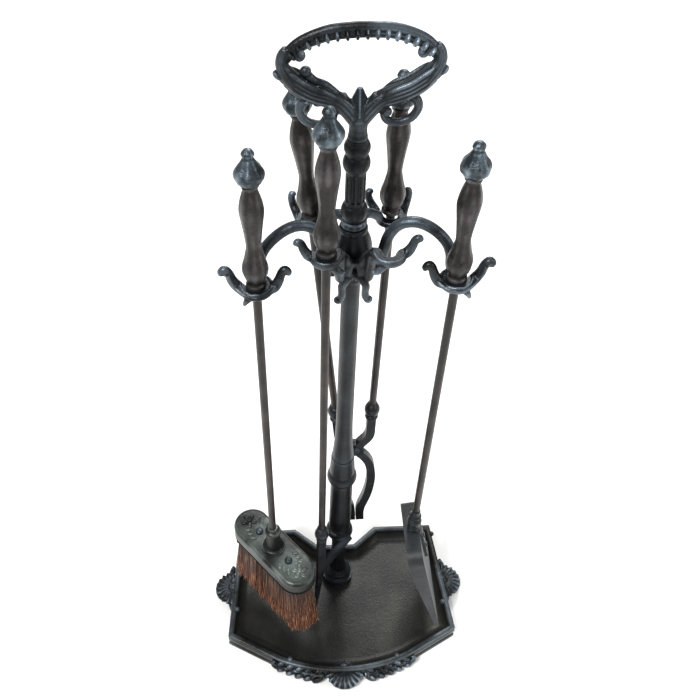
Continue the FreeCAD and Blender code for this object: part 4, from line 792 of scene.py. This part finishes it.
def makeGrip(tool):
    low, high = rodEnds(tool + "_rod")
    axis = (high - low).normalized()
    foot = high - axis * (grip["length"] + grip["intoFinial"]) * mm
    profile = [(p[0], p[1]) for p in smoothPath(grip["profile"], 2)]
    work = latheRings(profile, foot, axis, 64, grip["flats"], grip["flatDepth"], 5)
    finishPiece(objectFrom(work, tool + "Grip"), tool, brownIron, (tool + "_grip",))
    top = foot + axis * grip["length"] * mm
    profile = [(p[0], p[1]) for p in smoothPath(grip["finial"], 3)]
    work = latheRings(profile, top, axis, 64, grip["petals"], grip["petalDepth"], 2)
    finishPiece(objectFrom(work, tool + "Finial"), tool, rubbedIron, (tool + "_finial",))


for toolName in tools:
    makeGrip(toolName)
print("stage: grips made")


# Brush.

brush = {"strands": 5200, "strand": 0.4, "splay": 0.20, "wave": 3.6, "halfLength": 51.3, "halfWidth": 15.3,
         "turn": -50, "intoBlock": 1.0, "seed": 7}


def bristleTree():
    # Fibres: points scattered on the block's face, a thin strand hung from each, then splayed and waved.
    tree, given = newTree("fibres", {
        "Density": ("NodeSocketFloat", 1000.0), "Length": ("NodeSocketFloat", 0.09),
        "Thickness": ("NodeSocketFloat", 0.0004), "Splay": ("NodeSocketFloat", 0.2),
        "Wave": ("NodeSocketFloat", 0.002), "Seed": ("NodeSocketInt", 1), "Material": ("NodeSocketMaterial", None)})
    spots = addNode(tree, "GeometryNodeDistributePointsOnFaces", {},
                    {"Mesh": given.outputs["Geometry"], "Density": given.outputs["Density"],
                     "Seed": given.outputs["Seed"]})
    down = addNode(tree, "ShaderNodeMath", {"operation": "MULTIPLY", 1: -1.0}, {0: given.outputs["Length"]})
    end = addNode(tree, "ShaderNodeCombineXYZ", {}, {"Z": down.outputs[0]}).outputs[0]
    strand = addNode(tree, "GeometryNodeCurvePrimitiveLine", {}, {"End": end})
    bent = addNode(tree, "GeometryNodeResampleCurve", {"Count": 6}, {"Curve": strand.outputs[0]})
    shorter = addNode(tree, "FunctionNodeRandomValue", {"data_type": "FLOAT"}, {"Seed": given.outputs["Seed"]})
    shorter.inputs[2].default_value = 0.8
    shorter.inputs[3].default_value = 1.0
    size = addNode(tree, "ShaderNodeCombineXYZ", {"X": 1.0, "Y": 1.0}, {"Z": shorter.outputs[1]}).outputs[0]
    hung = addNode(tree, "GeometryNodeInstanceOnPoints", {},
                   {"Points": spots.outputs[0], "Instance": bent.outputs[0], "Scale": size})
    loose = addNode(tree, "GeometryNodeRealizeInstances", {}, {"Geometry": hung.outputs[0]})
    place = addNode(tree, "GeometryNodeInputPosition").outputs[0]
    split = addNode(tree, "ShaderNodeSeparateXYZ", {}, {0: place})
    depth = addNode(tree, "ShaderNodeMath", {"operation": "DIVIDE"},
                    {0: split.outputs["Z"], 1: down.outputs[0]}).outputs[0]
    eased = addNode(tree, "ShaderNodeMath", {"operation": "POWER", 1: 1.5}, {0: depth}).outputs[0]
    spread = addNode(tree, "ShaderNodeMath", {"operation": "MULTIPLY"},
                     {0: eased, 1: given.outputs["Splay"]}).outputs[0]
    outward = addNode(tree, "ShaderNodeVectorMath", {"operation": "MULTIPLY", 1: (1.0, 1.6, 0.0)}, {0: place})
    pushed = addNode(tree, "ShaderNodeVectorMath", {"operation": "SCALE"},
                     {0: outward.outputs[0], "Scale": spread})
    noise = addNode(tree, "ShaderNodeTexNoise", {"Scale": 90.0, "Detail": 1.0}, {"Vector": place})
    centred = addNode(tree, "ShaderNodeVectorMath", {"operation": "SUBTRACT", 1: (0.5, 0.5, 0.5)},
                      {0: noise.outputs["Color"]})
    reach = addNode(tree, "ShaderNodeMath", {"operation": "MULTIPLY"}, {0: depth, 1: given.outputs["Wave"]})
    waved = addNode(tree, "ShaderNodeVectorMath", {"operation": "SCALE"},
                    {0: centred.outputs[0], "Scale": reach.outputs[0]})
    flatWave = addNode(tree, "ShaderNodeVectorMath", {"operation": "MULTIPLY", 1: (2.0, 2.0, 0.0)},
                       {0: waved.outputs[0]})
    moved = addNode(tree, "ShaderNodeVectorMath", {"operation": "ADD"},
                    {0: pushed.outputs[0], 1: flatWave.outputs[0]})
    shaped = addNode(tree, "GeometryNodeSetPosition", {},
                     {"Geometry": loose.outputs[0], "Offset": moved.outputs[0]})
    ring = addNode(tree, "GeometryNodeCurvePrimitiveCircle", {"Resolution": 3},
                   {"Radius": given.outputs["Thickness"]})
    solid = addNode(tree, "GeometryNodeCurveToMesh", {"Fill Caps": True},
                    {"Curve": shaped.outputs[0], "Profile Curve": ring.outputs[0]})
    closeTree(tree, given, solid.outputs[0])
    return tree


def ovalPoints(halfLength, halfWidth, count=48):  # round ends and straight sides, mm
    straight = halfLength - halfWidth
    points = []
    for step in range(count):
        angle = 2 * math.pi * step / count
        shift = straight if math.cos(angle) >= 0 else -straight
        points.append((shift + halfWidth * math.cos(angle), halfWidth * math.sin(angle)))
    return points


def makeBristles():
    low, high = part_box("bristles")
    work = bmesh.new()
    outline = [work.verts.new(Vector((x, y, 0)) * mm)
               for x, y in ovalPoints(brush["halfLength"], brush["halfWidth"])]
    work.faces.new(outline[::-1])
    area = (4 * (brush["halfLength"] - brush["halfWidth"]) * brush["halfWidth"]
            + math.pi * brush["halfWidth"] ** 2) * mm * mm
    mesh = bpy.data.meshes.new("coirBristles")
    work.to_mesh(mesh)
    work.free()
    seed = bpy.data.objects.new("coirBristles", mesh)
    bpy.context.scene.collection.objects.link(seed)
    hair = runTree(seed, bristleTree(), {
        "Density": brush["strands"] / area, "Length": high.z - low.z, "Thickness": brush["strand"] * mm,
        "Splay": brush["splay"], "Wave": brush["wave"] * mm, "Seed": brush["seed"], "Material": coir},
        "coirBristles")
    middle = centreOf("brush_cap")
    place = Matrix.Translation(Vector((middle.x, middle.y, high.z + brush["intoBlock"] * mm)))
    hair.data.transform(place @ Matrix.Rotation(math.radians(brush["turn"]), 4, "Z"))
    finishPiece(hair, "brush", coir, ("bristles",))


cap = {"halfLength": 56, "halfWidth": 20, "wall": 2.5, "segments": 96, "flowerAt": 41,
       "rings": [(0, 0.3), (0.3, 0), (1.1, 0), (1.1, 1.8), (0.2, 3), (0.0, 6), (0.3, 12), (0, 16), (0.6, 18.2),
                 (2.0, 19.6), (4.6, 20)]}


def makeCap():
    # The pressed cap: a skirt with a rolled foot, a rounded shoulder, and flowers in relief at both ends.
    middle = centreOf("brush_cap")
    low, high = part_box("brush_cap")
    place = Matrix.Translation(Vector((middle.x, middle.y, low.z)))
    place = place @ Matrix.Rotation(math.radians(brush["turn"]), 4, "Z")
    work = bmesh.new()
    rings = []
    inside = [(cap["wall"], 17.4), (cap["wall"], 0.3)]
    for inset, height in inside + cap["rings"]:
        rings.append([work.verts.new(Vector((x, y, height)) * mm)
                      for x, y in ovalPoints(cap["halfLength"] - inset, cap["halfWidth"] - inset, cap["segments"])])
    for one, two in zip(rings, rings[1:]):
        for step in range(cap["segments"]):
            after = (step + 1) % cap["segments"]
            work.faces.new((one[step], one[after], two[after], two[step]))
    work.faces.new(rings[0][::-1])
    work.faces.new(rings[-1])
    work.transform(place)
    finishPiece(objectFrom(work, "brushCap"), "brush", sheetIron, ("brush_cap",))

    relief = bmesh.new()
    for side in (-1, 1):
        for step in range(5):
            angle = math.radians(72 * step + (0 if side > 0 else 36))
            spot = Vector((side * cap["flowerAt"] + 5.0 * math.cos(angle), 5.0 * math.sin(angle), 20.2)) * mm
            turn = Matrix.Rotation(angle, 4, "Z") @ Matrix.Diagonal((4.2 * mm, 2.6 * mm, 1.5 * mm, 1))
            bmesh.ops.create_uvsphere(relief, u_segments=14, v_segments=8, radius=1,
                                      matrix=Matrix.Translation(spot) @ turn)
        bmesh.ops.create_uvsphere(relief, u_segments=14, v_segments=8, radius=2.6 * mm,
                                  matrix=Matrix.Translation(Vector((side * cap["flowerAt"], 0, 20.4)) * mm))
        for hand in (-1, 1):
            for step in range(3):
                spot = Vector((side * (33 - 5.5 * step), hand * (8.5 + 1.2 * step), 20.0)) * mm
                turn = Matrix.Rotation(math.radians(hand * side * 35), 4, "Z")
                bmesh.ops.create_uvsphere(relief, u_segments=12, v_segments=8, radius=1, matrix=Matrix.Translation(
                    spot) @ turn @ Matrix.Diagonal((4.0 * mm, 1.7 * mm, 1.3 * mm, 1)))
    relief.transform(place)
    finishPiece(objectFrom(relief, "capFlowers"), "brush", sheetIron)


makeBristles()
makeCap()
print("stage: brush made")


# Stage, light and camera.

studio = {"floor": "#f4f4f2", "camera": (-53.7, -502.3, 1026.4), "pitch": 50.08, "yaw": 0.59, "roll": 1.55,
          "sensor": 36, "lens": 46.195714, "shift": (0.083114, 0.012), "ambient": 0.55}

lamps = {"keySoftbox": {"place": (-0.9, -1.1, 2.4), "aim": (0, 0, 0.4), "size": 0.6, "power": 66},
         "fillSoftbox": {"place": (1.7, -0.8, 1.3), "aim": (0, 0, 0.4), "size": 0.8, "power": 14},
         "backSoftbox": {"place": (0.3, 1.7, 2.0), "aim": (0, 0, 0.5), "size": 0.9, "power": 40}}


def makeFloor():
    mesh = bpy.data.meshes.new("studioFloor")
    mesh.from_pydata([(-6, -6, 0), (6, -6, 0), (6, 6, 0), (-6, 6, 0)], [], [(0, 1, 2, 3)])
    floor = bpy.data.objects.new("studioFloor", mesh)
    bpy.context.scene.collection.objects.link(floor)
    material, tree = newMaterial("paleFloor")
    shader = addNode(tree, "ShaderNodeBsdfPrincipled",
                     {"Base Color": linearColour(studio["floor"]), "Roughness": 0.8})
    addNode(tree, "ShaderNodeOutputMaterial", {}, {"Surface": shader.outputs["BSDF"]})
    mesh.materials.append(material)


def makeLight(name, lampValues):
    light = bpy.data.lights.new(name, "AREA")
    light.shape = "DISK"
    light.size = lampValues["size"]
    light.energy = lampValues["power"]
    lamp = bpy.data.objects.new(name, light)
    lamp.location = lampValues["place"]
    lamp.rotation_mode = "QUATERNION"
    towards = Vector(lampValues["aim"]) - Vector(lampValues["place"])
    lamp.rotation_quaternion = towards.to_track_quat("-Z", "Y")
    bpy.context.scene.collection.objects.link(lamp)


def makeCamera():
    pitch, yaw, roll = (math.radians(studio[key]) for key in ("pitch", "yaw", "roll"))
    ahead = Vector((math.sin(yaw) * math.cos(pitch), math.cos(yaw) * math.cos(pitch), -math.sin(pitch)))
    right = Vector((math.cos(yaw), -math.sin(yaw), 0))
    down = ahead.cross(right)
    rolledRight = right * math.cos(roll) + down * math.sin(roll)
    rolledDown = down * math.cos(roll) - right * math.sin(roll)
    camera = bpy.data.cameras.new("camera")
    camera.sensor_width = studio["sensor"]
    camera.lens = studio["lens"]
    camera.shift_x, camera.shift_y = studio["shift"]
    holder = bpy.data.objects.new("camera", camera)
    axes = Matrix((rolledRight, -rolledDown, -ahead)).transposed().to_4x4()
    holder.matrix_world = Matrix.Translation(fromColumn(*studio["camera"])) @ axes
    bpy.context.scene.collection.objects.link(holder)
    bpy.context.scene.camera = holder


makeFloor()
for lampName, values in lamps.items():
    makeLight(lampName, values)
world = bpy.data.worlds.new("studio")
world.use_nodes = True
world.node_tree.nodes["Background"].inputs["Color"].default_value = linearColour("#ffffff")
world.node_tree.nodes["Background"].inputs["Strength"].default_value = studio["ambient"]
bpy.context.scene.world = world
bpy.context.scene.view_settings.view_transform = "Standard"
makeCamera()
print("stage: studio ready")
